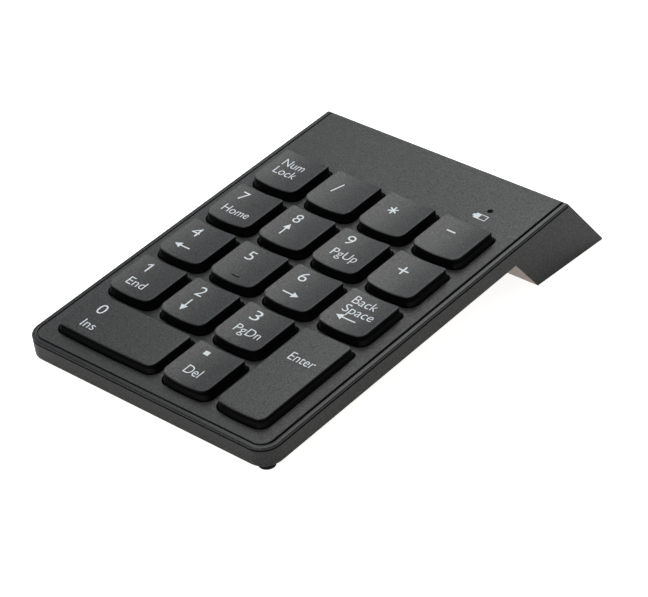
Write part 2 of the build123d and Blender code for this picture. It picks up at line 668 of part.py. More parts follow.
def membrane(layer):
    """contact membrane, layer 0 on top; the outer two have a tail under the board"""
    top = WEB_BOT - 0.005 - layer * (MEM_T + 0.01)
    face = RectangleRounded(SHEET_W + MEM_GROW, SHEET_D + MEM_GROW, SHEET_R)
    sheet = rise(Pos(0, SHEET_Y, top - MEM_T) * face, MEM_T)
    holes = []
    if layer == SPACER:
        holes = [cyl(*plunger_at(name), -6, 0, 2.2) for name in KEYS]
    else:
        sheet += box(TAIL_X, TAIL_Y, (top - MEM_T, top))
    return one(sheet - joined(holes + sheet_screw_holes()))


def tail_strip():
    """strip between the membranes' tail and the board"""
    return box((-8.5, 8.5), (47.2, 49.8), (WEB_BOT + 0.02, PCB_BOT - 0.02))


# ---------------------------------------------------------------- circuit board
PCB_X, PCB_Y = (-38.5, 38.5), (41.6, 58.4)
PART_BOT = PCB_TOP + 0.02            # parts sit just over the board
CHIP_X, CHIP_Y = (-24, -17), (45.5, 52.5)
CRYSTAL_X, CRYSTAL_Y = (-13.6, -10.4), (46.6, 49.1)
CAPACITORS = [(-27.0, 47.0), (-27.0, 50.0), (-13, 52.6), (-9.0, 52.6),
              (6.0, 46.0), (10.0, 46.0), (22.0, 46.0), (32.5, 52.0)]    # X, Y


def circuit_board():
    board = box(PCB_X, PCB_Y, (PCB_BOT, PCB_TOP))
    for x, y in BOARD_SCREWS:
        board -= cyl(x, y, -6, 0, 1.15)
    for y in TAB_YS:
        board -= box((TAB_X[0] - 0.15, TAB_X[1] + 0.15), span(y, TAB_HALF + 0.2), (-6, 0))
    return one(board)


def controller_chip():
    """chip with a round mark in its left rear corner"""
    chip = box(CHIP_X, CHIP_Y, (PART_BOT, PCB_TOP + 0.5))
    return chip - cyl(CHIP_X[0] + 0.9, CHIP_Y[1] - 0.9, PCB_TOP + 0.42, 0, 0.35)


def crystal():
    can = box(CRYSTAL_X, CRYSTAL_Y, (PART_BOT, PCB_TOP + 0.55))
    return fillet(can.edges().filter_by(Axis.Z), 0.3)


def small_part(x, y, height):
    return box(span(x, 0.8), span(y, 0.4), (PART_BOT, PCB_TOP + height))


def board_capacitors():
    return Compound(children=[small_part(x, y, 0.45) for x, y in CAPACITORS])


def indicator_led():
    return fillet(small_part(*LED_XY, 0.42).edges().filter_by(Axis.Z), 0.1)


def light_pipe():
    return one(cyl(*LED_XY, -1.0, -0.25, 0.6) + cyl(*LED_XY, -2.1, -1.0, 0.9))


# ---------------------------------------------------------------- slide switch
def switch_body():
    body = box(span(SW_X, 4.0), (58.5, 60.7), (-3.9, -2.25))
    body -= box(span(SW_X, 2.3), (59.4, 61), span(SW_Z, 0.55))
    return one(body)


def behind_rear_face(inset, x_from, x_to):
    """everything behind the wedge's rear face moved in by inset"""
    return prism([(rear_face_y(-8, inset), -8), (rear_face_y(2, inset), 2), (80, 2), (80, -8)],
                 x_from, x_to)


def switch_knob():
    face_y = rear_face_y(SW_Z)
    knob = box((SW_X - 2.2, SW_X - 0.2), (59.45, face_y - 0.6), span(SW_Z, 0.5))
    knob += box((SW_X - 2.7, SW_X + 0.3), (face_y - 1.9, face_y + 2), span(SW_Z, 0.62))
    for i in range(3):
        knob -= behind_rear_face(0.12, *span(SW_X - 2.0 + i * 0.8, 0.13))
    # the finger face lies along the rear face and stands barely proud of it
    knob -= behind_rear_face(-0.12, -40, 40)
    return one(knob)


# ---------------------------------------------------------------- screws
def case_screw(x, y):
    """countersunk screw, head down, with a tapered tip"""
    head, tip = Z_FLOOR + 0.05, -1.85
    screw = cyl(x, y, head + 0.8, tip, SCREW_R)
    screw += Pos(x, y, head + 0.42) * Cone(1.75, SCREW_R, 0.84)
    screw -= cross_recess(x, y, 1.0, 0.18, head - 1, head + 0.55)
    taper = Pos(x, y, tip - 0.25) * Cone(SCREW_R + 0.01, 0.45, 0.5)
    return one(screw & (cyl(x, y, head, tip - 0.5, 5) + taper))


def board_screw(x, y):
    """flat-headed screw, head under the board"""
    screw = (cyl(x, y, PCB_BOT - 0.2, -1.45, SCREW_R)
             + cyl(x, y, PCB_BOT - 0.62, PCB_BOT - 0.02, 1.6))
    return one(screw - cross_recess(x, y, 0.9, 0.17, -6, PCB_BOT - 0.3))


# ---------------------------------------------------------------- receiver, row frame
SHELL_T = 0.3
PIN_YS = [RECEIVER_Y + offset for offset in (-3.5, -1.0, 1.0, 3.5)]


def receiver_grip():
    body = around_receiver(GRIP_START, GRIP_END, GRIP_W - 0.7, GRIP_H)
    body = fillet(body.edges().filter_by(Axis.X), 0.5)
    # ribs on the short sides
    for i in range(4):
        x = GRIP_START + 1.75 + 1.3 * i
        for side in (-1, 1):
            body += box((x, x + 0.7),
                        (RECEIVER_Y + side * (GRIP_W / 2 - 1.2), RECEIVER_Y + side * GRIP_W / 2),
                        span(RECEIVER_Z, GRIP_H / 2 - 0.25))
    end_cap = around_receiver(GRIP_START, GRIP_START + 1.2, GRIP_W, GRIP_H)
    body += fillet(end_cap.edges().filter_by(Axis.X), 0.7)
    # socket for the plug's shell
    body -= around_receiver(GRIP_END - 2.0, GRIP_END + 1, PLUG_W, PLUG_H, 0.02)
    return one(body)


def receiver_shell():
    """plug shell, open at both ends, with two windows through top and bottom"""
    shell = around_receiver(PLUG_START, PLUG_END, PLUG_W, PLUG_H)
    shell = fillet(shell.edges().filter_by(Axis.X), 0.4)
    shell -= around_receiver(PLUG_START - 1, PLUG_END + 1, PLUG_W, PLUG_H, -SHELL_T)
    for side in (-1, 1):
        shell -= box(span(PLUG_END - 6.4, 1.25), span(RECEIVER_Y + side * 2.9, 1.25),
                     span(RECEIVER_Z, 5))
    return one(shell)


def receiver_tongue():
    inset = SHELL_T + 0.05
    tongue = box((PLUG_START, PLUG_END - 0.6), span(RECEIVER_Y, PLUG_W / 2 - inset),
                 (RECEIVER_Z - PLUG_H / 2 + inset, RECEIVER_Z + 0.05))
    for y in PIN_YS:
        tongue -= box((PLUG_END - 9.0, PLUG_END - 1.4), span(y, 0.55),
                      (RECEIVER_Z - 0.2, RECEIVER_Z + 1))
    return one(tongue)


def receiver_pins():
    return Compound(children=[
        box((PLUG_END - 8.9, PLUG_END - 1.5), span(y, 0.5), (RECEIVER_Z - 0.18, RECEIVER_Z + 0.1))
        for y in PIN_YS
    ])


# ---------------------------------------------------------------- export
def deck_parts():
    """parts drawn in the deck frame"""
    parts = {
        "deck_panel": deck_panel(),
        "rim_ring": rim_ring(),
        "key_frame": key_frame(),
        "bottom_shell": bottom_shell(),
        "stabilizer_wire_0": stab_wire("key_0"),
        "stabilizer_wire_enter": stab_wire("key_enter"),
        "dome_sheet": dome_sheet(),
        "membrane_top": membrane(0),
        "membrane_spacer": membrane(SPACER),
        "membrane_bottom": membrane(2),
        "circuit_board": circuit_board(),
        "controller_chip": controller_chip(),
        "crystal": crystal(),
        "board_capacitors": board_capacitors(),
        "indicator_led": indicator_led(),
        "light_pipe": light_pipe(),
        "tail_contact_strip": tail_strip(),
        "switch_body": switch_body(),
        "switch_knob": switch_knob(),
        "contact_positive": contact_end(CELL_A_Y, True),
        "contact_negative": contact_end(CELL_B_Y, False),
        "case_screws": Compound(children=[case_screw(x, y) for x, y in CASE_SCREWS]),
        "board_screws": Compound(children=[board_screw(x, y) for x, y in BOARD_SCREWS]),
    }
    parts.update({name: keycap(name) for name in KEYS})
    return parts


def row_parts():
    """parts drawn in the row frame"""
    return {
        "battery_door": battery_door(),
        "battery_cell_a": cell(*CELL_A_X, CELL_A_Y),
        "battery_cell_b": cell(*CELL_B_X, CELL_B_Y),
        "contact_bridge": contact_bridge(),
        "contact_springs": contact_springs(),
        "front_foot_left": front_foot(-1),
        "front_foot_right": front_foot(1),
        "rear_pad_left": rear_pad(-1),
        "rear_pad_right": rear_pad(1),
        "receiver_grip": receiver_grip(),
        "receiver_shell": receiver_shell(),
        "receiver_tongue": receiver_tongue(),
        "receiver_pins": receiver_pins(),
    }


os.makedirs("parts", exist_ok=True)
all_parts = {name: TO_ROW * part for name, part in deck_parts().items()}
all_parts.update(row_parts())
for name, part in all_parts.items():
    export_step(part, f"parts/{name}.step")
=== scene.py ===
import json
import math
from collections import namedtuple

import bmesh
import bpy
from mathutils import Matrix, Vector
from mathutils.geometry import tessellate_polygon


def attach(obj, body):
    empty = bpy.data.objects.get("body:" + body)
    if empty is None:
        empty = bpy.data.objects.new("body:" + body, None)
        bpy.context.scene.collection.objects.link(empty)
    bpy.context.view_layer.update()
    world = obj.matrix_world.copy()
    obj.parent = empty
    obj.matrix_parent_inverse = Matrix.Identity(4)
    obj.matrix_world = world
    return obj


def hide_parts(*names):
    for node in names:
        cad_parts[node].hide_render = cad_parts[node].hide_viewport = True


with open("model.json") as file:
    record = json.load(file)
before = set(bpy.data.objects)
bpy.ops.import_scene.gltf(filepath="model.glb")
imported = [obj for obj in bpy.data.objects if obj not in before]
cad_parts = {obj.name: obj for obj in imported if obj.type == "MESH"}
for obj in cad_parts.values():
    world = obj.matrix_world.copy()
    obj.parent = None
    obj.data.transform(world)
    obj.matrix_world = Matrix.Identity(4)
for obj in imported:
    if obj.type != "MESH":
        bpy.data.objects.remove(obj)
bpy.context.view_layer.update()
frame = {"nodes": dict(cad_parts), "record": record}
NODES = frame["nodes"]
scene = bpy.context.scene

# ---------------------------------------------------------------- casing sizes, millimetres
TILT = math.radians(5.0)          # of the deck against the floor
SLOPE = math.radians(55.6)        # of the rear face against the deck
COT = 1.0 / math.tan(SLOPE)
REAR_Y = 61.63                    # where the rear face would meet the deck, unrounded
BOTTOM_Z = -20.2                  # foot of the rear face
FLOOR_GAP = 0.25                  # between that foot and the floor
HALF_WIDTH = 42.7
FRONT_Y = -60.0
CORNER_R = 5.5                    # front corners, seen from above
PANEL_HALF = 40.68                # half width of the deck panel
PANEL_FRONT = FRONT_Y + 1.775
PANEL_T = 0.95
FOLD_R = 1.8                      # rounding between the deck and the rear face
FOLD_Y = REAR_Y - FOLD_R * math.tan(SLOPE / 2)   # where that rounding starts
ROW_Y = -0.0084155                # place of the deck frame in the row frame, metres

LIFT = FLOOR_GAP - ((REAR_Y - BOTTOM_Z * COT) * math.sin(TILT) + BOTTOM_Z * math.cos(TILT))
TO_ROW = (Matrix.Translation((0, ROW_Y, LIFT / 1000)) @ Matrix.Rotation(TILT, 4, "X")
          @ Matrix.Scale(0.001, 4))
TO_DECK = TO_ROW.inverted()


def deck_points(node):
    """vertices of a CAD node in the deck frame"""
    return [TO_DECK @ v.co for v in NODES[node].data.vertices]


def box_of(points):
    """lowest and highest corner of some points"""
    return (Vector([min(p[i] for p in points) for i in range(3)]),
            Vector([max(p[i] for p in points) for i in range(3)]))


# ---------------------------------------------------------------- shader nodes
class Nodes:
    """the emptied node tree of a material or world, with short ways to add to it"""

    def __init__(self, owner):
        owner.use_nodes = True
        self.tree = owner.node_tree
        self.tree.nodes.clear()

    def fill(self, node, inputs):
        """links sockets and sets values; colours are given without alpha"""
        for key, value in inputs.items():
            socket = node.inputs[key]
            if isinstance(value, bpy.types.NodeSocket):
                self.tree.links.new(value, socket)
            elif socket.type == "RGBA":
                socket.default_value = (*value, 1)
            else:
                socket.default_value = value

    def node(self, kind, inputs=None, **properties):
        made = self.tree.nodes.new("ShaderNode" + kind)
        for name, value in properties.items():
            setattr(made, name, value)
        self.fill(made, inputs or {})
        return made

    def math(self, operation, a, b=None, clamp=False):
        inputs = {0: a} if b is None else {0: a, 1: b}
        return self.node("Math", inputs, operation=operation, use_clamp=clamp).outputs[0]

    def add(self, a, b, clamp=False):
        return self.math("ADD", a, b, clamp)

    def subtract(self, a, b, clamp=False):
        return self.math("SUBTRACT", a, b, clamp)

    def multiply(self, a, b, clamp=False):
        return self.math("MULTIPLY", a, b, clamp)

    def swing(self, texture, amount):
        """a texture value swinging about zero"""
        return self.multiply(self.subtract(texture, 0.5), amount)

    def vary(self, value, texture, amount, clamp=False):
        """a value that a texture moves up and down"""
        return self.add(value, self.swing(texture, amount), clamp)

    def mix(self, factor, a, b):
        """mixes two colours"""
        return self.node("Mix", {0: factor, 6: a, 7: b}, data_type="RGBA").outputs[2]


class Material(Nodes):
    """a material with one Principled BSDF, textured in object coordinates"""

    def __init__(self, name):
        self.material = bpy.data.materials.new(name)
        super().__init__(self.material)
        output = self.node("OutputMaterial")
        self.surface = self.node("BsdfPrincipled")
        self.fill(output, {0: self.surface.outputs[0]})
        self.coords = self.node("TexCoord").outputs["Object"]

    def noise(self, scale, detail, roughness, coords=None):
        inputs = {"Scale": scale, "Detail": detail, "Roughness": roughness,
                  "Vector": coords or self.coords}
        return self.node("TexNoise", inputs).outputs["Fac"]

    def bevel(self, radius):
        return self.node("Bevel", {"Radius": radius}, samples=4).outputs[0]

    def bump(self, height, strength, distance=0.00003, normal=None):
        inputs = {"Strength": strength, "Distance": distance, "Height": height}
        if normal:
            inputs["Normal"] = normal
        return self.node("Bump", inputs).outputs[0]

    def finish(self, inputs):
        self.fill(self.surface, inputs)
        return self.material


def scaled(colour, gain, offset=0.0):
    return [min(1, c * gain + offset) for c in colour]


# ---------------------------------------------------------------- materials
def moulded(name, base, rough=0.42, grain=4200.0, bump=0.25, speck=0.14, cloud=0.08,
            edge=0.00012, wear=0.25, glint=0.0):
    """moulded plastic: fine grain, faint clouding, slightly polished edges"""
    mat = Material(name)
    fine = mat.noise(scale=grain, detail=3.0, roughness=0.62)
    medium = mat.noise(scale=grain * 0.31, detail=2.0, roughness=0.5)
    broad = mat.noise(scale=38.0, detail=3.0, roughness=0.55)
    # edges, found from the difference between the rounded and the true normal
    rounded = mat.bevel(radius=edge)
    true_normal = mat.node("NewGeometry").outputs["Normal"]
    likeness = mat.node("VectorMath", {0: rounded, 1: true_normal}, operation="DOT_PRODUCT")
    worn = mat.multiply(mat.subtract(1.0, likeness.outputs["Value"]), 4.0 * wear, clamp=True)
    worn = mat.multiply(worn, mat.add(0.5, medium), clamp=True)
    shade = mat.vary(mat.swing(fine, amount=2 * speck), broad, amount=2 * cloud)
    colour = mat.mix(mat.add(0.5, shade, clamp=True), scaled(base, 0.55), scaled(base, 1.45))
    colour = mat.mix(worn, colour, scaled(base, gain=1.9, offset=0.01))
    roughness = mat.vary(mat.vary(rough, medium, amount=0.16), broad, amount=0.10)
    polish = mat.multiply(worn, 0.12)
    roughness = mat.subtract(roughness, polish, clamp=True)
    # single grains catch the light more or less strongly
    catch = mat.vary(0.5, fine, amount=3.6, clamp=True)
    specular = mat.multiply(0.5, mat.add(1.0 - glint, mat.multiply(catch, 2 * glint)))
    height = mat.add(fine, mat.multiply(medium, 0.6))
    return mat.finish({
        "Base Color": colour,
        "Roughness": roughness,
        "Specular IOR Level": specular,
        "Normal": mat.bump(height, strength=bump, normal=rounded),
    })


def keycap_material():
    """matte coated top and black skirt, told apart by the 'top' attribute"""
    mat = Material("keycap")
    fine = mat.noise(scale=2500.0, detail=3.0, roughness=0.65)
    medium = mat.noise(scale=1300.0, detail=2.0, roughness=0.5)
    broad = mat.noise(scale=60.0, detail=3.0, roughness=0.5)
    top = mat.node("Attribute", attribute_name="top").outputs["Fac"]
    painted_highlight = mat.node("Attribute", attribute_name="painted_highlight").outputs["Fac"]
    shade = mat.vary(mat.swing(fine, amount=1.05), broad, amount=0.22)
    top_colour = mat.mix(mat.add(0.5, shade, clamp=True),
                         (0.0125, 0.0128, 0.013), (0.043, 0.044, 0.0445))
    skirt_colour = mat.mix(medium, (0.0016, 0.0016, 0.0017), (0.0034, 0.0034, 0.0035))
    colour = mat.mix(top, skirt_colour, top_colour)
    # painted highlight: a paler band round the rounded edge of the top
    painted_highlight_share = mat.multiply(mat.multiply(painted_highlight, top), mat.add(0.25, medium))
    colour = mat.mix(painted_highlight_share, colour, (0.030, 0.031, 0.032))
    top_rough = mat.vary(0.33, medium, amount=0.14)
    skirt_rough = mat.vary(0.30, broad, amount=0.12)
    roughness = mat.node("Mix", {0: top, 2: skirt_rough, 3: top_rough}, data_type="FLOAT")
    # the skirt reflects 0.16; the top adds 0.12 and up to 0.44 more on single grains
    catch = mat.vary(0.5, fine, amount=3.6, clamp=True)
    top_specular = mat.multiply(top, mat.add(0.12, mat.multiply(catch, 0.44)))
    strength = mat.multiply(top, 0.85)
    height = mat.add(fine, mat.multiply(medium, 0.5))
    return mat.finish({
        "Base Color": colour,
        "Roughness": roughness.outputs[0],
        "Specular IOR Level": mat.add(0.16, top_specular),
        "Normal": mat.bump(height, strength),
    })


def ink_material():
    """pale print with slightly uneven cover"""
    mat = Material("legend_ink")
    fine = mat.noise(scale=5200.0, detail=2.0, roughness=0.6)
    broad = mat.noise(scale=700.0, detail=2.0, roughness=0.5)
    thin = mat.multiply(fine, mat.add(0.4, broad), clamp=True)
    return mat.finish({
        "Base Color": mat.mix(thin, (0.88, 0.92, 0.97), (0.70, 0.74, 0.79)),
        "Roughness": 0.55,
        "Specular IOR Level": 0.35,
        "Normal": mat.bump(fine, strength=0.2, distance=0.00002),
    })


def metal(name, base, rough=0.3, brush=(1.0, 1.0, 1.0), scale=2500.0):
    """metal; brush squeezes the fine grain along each axis"""
    mat = Material(name)
    brushed = mat.node("Mapping", {"Scale": brush, "Vector": mat.coords}).outputs[0]
    fine = mat.noise(scale=scale, detail=4.0, roughness=0.6, coords=brushed)
    broad = mat.noise(scale=240.0, detail=3.0, roughness=0.55)
    dirt = mat.multiply(broad, 0.25)
    colour = mat.mix(dirt, base, scaled(base, 0.45))
    streaks = mat.multiply(fine, 0.25)
    colour = mat.mix(streaks, colour, scaled(base, 1.2))
    roughness = mat.add(rough - 0.08, mat.multiply(mat.add(fine, broad), 0.10))
    rounded = mat.bevel(radius=0.00008)
    return mat.finish({
        "Base Color": colour,
        "Metallic": 1.0,
        "Roughness": roughness,
        "Normal": mat.bump(fine, strength=0.15, distance=0.00001, normal=rounded),
    })


def soft(name, base, rough=0.5, transmission=0.0, grain=1800.0, bump=0.2, subsurface=0.0,
         specular=0.5):
    """rubber, silicone, film and clear plastic"""
    mat = Material(name)
    fine = mat.noise(scale=grain, detail=3.0, roughness=0.6)
    broad = mat.noise(scale=90.0, detail=3.0, roughness=0.5)
    colour = mat.mix(broad, scaled(base, 0.8), scaled(base, 1.15))
    specks = mat.multiply(fine, 0.3)
    colour = mat.mix(specks, colour, scaled(base, 0.6))
    return mat.finish({
        "Base Color": colour,
        "Roughness": mat.add(rough - 0.06, mat.multiply(fine, 0.12)),
        "Transmission Weight": transmission,
        "Subsurface Weight": subsurface,
        "Subsurface Radius": (0.001, 0.001, 0.001),
        "IOR": 1.45,
        "Specular IOR Level": specular,
        "Normal": mat.bump(fine, strength=bump),
    })


def board_material():
    """green solder mask over raised copper traces"""
    mat = Material("board")
    bricks = mat.node("TexBrick", {"Scale": 260.0, "Mortar Size": 0.06, "Brick Width": 2.4,
                                   "Row Height": 0.42, "Vector": mat.coords})
    patches = mat.math("GREATER_THAN", mat.noise(scale=150.0, detail=3.0, roughness=0.5), 0.48)
    traces = mat.multiply(bricks.outputs["Fac"], patches)
    return mat.finish({
        "Base Color": mat.mix(traces, (0.012, 0.075, 0.030), (0.035, 0.16, 0.06)),
        "Roughness": 0.28,
        "Coat Weight": 0.4,
        "Normal": mat.bump(traces, strength=0.5),
    })


def cell_material():
    """battery sleeve: dark body, pale beyond a distance along X, bare metal end faces"""
    mat = Material("cell_sleeve")
    place = mat.node("SeparateXYZ", {0: mat.coords})
    normal = mat.node("SeparateXYZ", {0: mat.node("NewGeometry").outputs["Normal"]})
    end = mat.math("GREATER_THAN", mat.math("ABSOLUTE", normal.outputs[0]), 0.35)
    body_middle, body_half = 0.0042, 0.0165      # of the dark part, metres
    distance = mat.math("ABSOLUTE", mat.subtract(place.outputs[0], body_middle))
    band = mat.math("GREATER_THAN", distance, body_half)
    fine = mat.noise(scale=900.0, detail=3.0, roughness=0.5)
    broad = mat.noise(scale=60.0, detail=2.0, roughness=0.5)
    colour = mat.mix(broad, (0.010, 0.045, 0.030), (0.016, 0.066, 0.044))
    colour = mat.mix(band, colour, (0.42, 0.36, 0.20))
    colour = mat.mix(end, colour, (0.60, 0.59, 0.57))
    return mat.finish({
        "Base Color": colour,
        "Metallic": end,
        "Roughness": mat.add(0.22, mat.multiply(fine, 0.14)),
        "Coat Weight": 0.3,
        "Normal": mat.bump(fine, strength=0.12),
    })


# by the material slot of the CAD pieces
MATERIALS = {
    "deck_plastic": moulded("deck", (0.026, 0.0266, 0.027), rough=0.40, grain=2500, bump=0.85,
                            speck=0.60, cloud=0.14, glint=0.45),
    "rim_plastic": moulded("rim", (0.019, 0.0195, 0.0205), rough=0.26, grain=5000, bump=0.12,
                           speck=0.08, cloud=0.05, edge=0.00005, wear=0.1),
    "shell_plastic": moulded("shell", (0.020, 0.0198, 0.0192), rough=0.42, grain=2500, bump=0.60,
                             speck=0.50, cloud=0.10, glint=0.40),
    "frame_plastic": moulded("key_frame", (0.006, 0.006, 0.0062), rough=0.5, grain=3000,
                             bump=0.2),
    "keycap_plastic": keycap_material(),
    "knob_plastic": moulded("knob", (0.010, 0.010, 0.010), rough=0.4, grain=4000, bump=0.2),
    "grip_plastic": moulded("grip", (0.012, 0.012, 0.012), rough=0.40),
    "tongue_plastic": moulded("tongue", (0.012, 0.012, 0.013), rough=0.45, grain=3000,
                              bump=0.15),
    "chip_epoxy": moulded("chip", (0.010, 0.010, 0.010), rough=0.5, grain=5000, bump=0.3),
    "capacitor_ceramic": moulded("capacitor", (0.32, 0.22, 0.13), rough=0.4, grain=5000,
                                 bump=0.1),
    "dome_silicone": soft("silicone", (0.62, 0.65, 0.66), rough=0.45, transmission=0.25,
                          subsurface=0.2, grain=900),
    "circuit_film": soft("film", (0.62, 0.66, 0.62), rough=0.2, transmission=0.45, grain=400,
                         bump=0.05),
    "contact_elastomer": soft("elastomer", (0.03, 0.03, 0.032), rough=0.6),
    "foot_rubber": soft("rubber", (0.007, 0.007, 0.0072), rough=0.78, grain=2200, bump=0.6),
    "led_lens": soft("led", (0.8, 0.8, 0.65), rough=0.15, transmission=0.5, bump=0.02),
    # the clear light pipe is coloured near black with almost no specular: painted shade for the
    # dark hole over the indicator
    "light_pipe_clear": soft("light_pipe", (0.0015, 0.0015, 0.0016), rough=0.55, bump=0.03,
                             specular=0.04),
    "board_laminate": board_material(),
    "cell_sleeve": cell_material(),
    "can_metal": metal("can", (0.62, 0.61, 0.58), rough=0.32, brush=(1, 12, 12)),
    "contact_nickel": metal("nickel", (0.66, 0.64, 0.58), rough=0.28, brush=(1, 10, 1)),
    "spring_steel": metal("spring", (0.62, 0.61, 0.58), rough=0.22, scale=1500),
    "screw_steel": metal("screw", (0.10, 0.10, 0.105), rough=0.36, scale=3500),
    "wire_steel": metal("wire", (0.52, 0.52, 0.52), rough=0.3, brush=(1, 8, 8)),
    "plug_steel": metal("plug", (0.63, 0.63, 0.60), rough=0.27, brush=(0.4, 9, 9), scale=1400),
    "pin_gold": metal("pins", (0.80, 0.55, 0.25), rough=0.22, brush=(1, 8, 8)),
}
INK = ink_material()

for piece in frame["record"]["subparts"]:
    slots = NODES[piece["node"]].data.materials
    material = MATERIALS[piece["material_slot"]]
    if not slots:
        slots.append(material)
    for i in range(len(slots)):
        slots[i] = material


# ---------------------------------------------------------------- mesh helpers
def outward(bm):
    """turns each closed shell of the mesh so that its faces look out"""
    bm.normal_update()
    seen = set()
    for first in bm.faces[:]:
        if first in seen:
            continue
        seen.add(first)
        waiting, shell = [first], []
        while waiting:
            face = waiting.pop()
            shell.append(face)
            for edge in face.edges:
                for other in edge.link_faces:
                    if other not in seen:
                        seen.add(other)
                        waiting.append(other)
        origin = first.verts[0].co
        volume = sum((f.verts[0].co - origin).dot(f.normal) * f.calc_area() for f in shell)
        if volume < 0:
            bmesh.ops.reverse_faces(bm, faces=shell)


def finish_mesh(name, bm, body, sharp, replaced=None, slot=None):
    """makes the object, sharp above an angle in degrees; without a slot it is a print in ink"""
    bmesh.ops.remove_doubles(bm, verts=bm.verts, dist=1e-5)
    bmesh.ops.recalc_face_normals(bm, faces=bm.faces)
    outward(bm)
    limit = math.radians(sharp)
    for face in bm.faces:
        face.smooth = True
    for edge in bm.edges:
        edge.smooth = not (len(edge.link_faces) == 2 and edge.calc_face_angle(0) > limit)
    mesh = bpy.data.meshes.new(name)
    bm.to_mesh(mesh)
    bm.free()
    mesh.transform(TO_ROW)
    obj = bpy.data.objects.new(name, mesh)
    scene.collection.objects.link(obj)
    mesh.materials.append(MATERIALS[slot] if slot else INK)
    if slot:
        weighted = obj.modifiers.new("weighted", "WEIGHTED_NORMAL")
        weighted.keep_sharp = True
        weighted.weight = 50
    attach(obj, body)
    if slot:
        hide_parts(replaced)


def skin(bm, loops, values=None):
    """quads between closed loops of the same length; returns the rows of vertices.
    values holds the 'top' attribute and the painted-highlight attribute of each loop"""
    rows = []
    for i, loop in enumerate(loops):
        row = [bm.verts.new(p) for p in loop]
        if values:
            layers = bm.verts.layers.float
            for vert in row:
                vert[layers["top"]], vert[layers["painted_highlight"]] = values[i]
        rows.append(row)
    count = len(rows[0])
    for a, b in zip(rows, rows[1:]):
        for i in range(count):
            j = (i + 1) % count
            bm.faces.new((a[i], a[j], b[j], b[i]))
    return rows


def arc(center_x, center_y, radius, start, end, steps, ends=True):
    """x, y and outward normal x, y along an arc; angles in degrees"""
    points = []
    for i in range(steps + 1):
        if not ends and i in (0, steps):
            continue
        a = math.radians(start + (end - start) * i / steps)
        points.append((center_x + radius * math.cos(a), center_y + radius * math.sin(a),
                       math.cos(a), math.sin(a)))
    return points


def line(x0, y0, x1, y1, normal_x, normal_y, steps):
    """the same for a straight line, without its ends"""
    return [(x0 + (x1 - x0) * i / steps, y0 + (y1 - y0) * i / steps, normal_x, normal_y)
            for i in range(1, steps)]


def circle(center_x, center_y, radius, z, count=40):
    angles = [2 * math.pi * i / count for i in range(count)]
    return [(center_x + radius * math.cos(a), center_y + radius * math.sin(a), z)
            for a in angles]


def cap_ends(bm, first, last):
    bm.faces.new(last)
    bm.faces.new(list(reversed(first)))


CHAMFER = 0.08                    # at the lower end of tubes and pegs


def tube(bm, x, y, inner, outer, z0, z1):
    rows = skin(bm, [circle(x, y, r, z) for r, z in (
        (inner, z1), (outer, z1), (outer, z0 + CHAMFER), (outer - CHAMFER, z0),
        (inner + CHAMFER, z0), (inner, z0 + CHAMFER))])
    first, last = rows[0], rows[-1]
    for i in range(len(first)):
        j = (i + 1) % len(first)
        bm.faces.new((last[i], last[j], first[j], first[i]))


def peg(bm, x, y, radius, z0, z1):
    rows = skin(bm, [circle(x, y, r, z) for r, z in (
        (radius, z1), (radius, z0 + CHAMFER), (radius - CHAMFER, z0))])
    cap_ends(bm, rows[0], rows[-1])


def block(bm, x0, x1, y0, y1, z0, z1):
    corners = ((x0, y0), (x1, y0), (x1, y1), (x0, y1))
    verts = [bm.verts.new((x, y, z)) for z in (z0, z1) for x, y in corners]
    for face in ((0, 1, 2, 3), (4, 7, 6, 5), (0, 4, 5, 1), (1, 5, 6, 2), (2, 6, 7, 3),
                 (3, 7, 4, 0)):
        bm.faces.new([verts[i] for i in face])


# ---------------------------------------------------------------- key sizes, millimetres
FLARE = 0.5                       # how far the foot of the skirt stands out
KEY_GAP = 0.35                    # between that foot and the deck panel
EDGE_Z, MID_Z = 3.0, 2.5          # top of a dished key at its sides and in its middle
FLARE_Z, SKIRT_Z = 1.2, -0.3      # where the skirt steps out, and where it ends
TOP_R = 0.35                      # rounding round the top
KEY_FRONT_R, KEY_REAR_R = 2.4, 1.0               # corners seen from above
WALL = 1.0                        # inset of the inside from the upper outline

Key = namedtuple("Key", "name x rear width depth bow wide")


def read_key(name):
    """place and size above the flare, from the CAD; bow is the bulge of the front edge"""
    lo, hi = deck_box = box_of(deck_points("key_" + name))
    return Key(name, (lo.x + hi.x) / 2, hi.y - FLARE, hi.x - lo.x - 2 * FLARE,
               hi.y - lo.y - 2 * FLARE, 0.35 if name == "0" else 0.6, name in ("enter", "0"))


KEYS = {name: read_key(name) for name in (
    "num_lock", "divide", "multiply", "subtract",
    "7", "8", "9", "add",
    "4", "5", "6", "backspace",
    "1", "2", "3", "enter",
    "0", "decimal")}


def top_z(key, x):
    """height of a key's top at x from its middle: flat on the wide keys, else dished"""
    if key.wide:
        return MID_Z
    half = key.width / 2
    rise = EDGE_Z - MID_Z
    radius = half * half / (2 * rise) + rise / 2
    return MID_Z + radius - math.sqrt(max(radius * radius - x * x, 0))


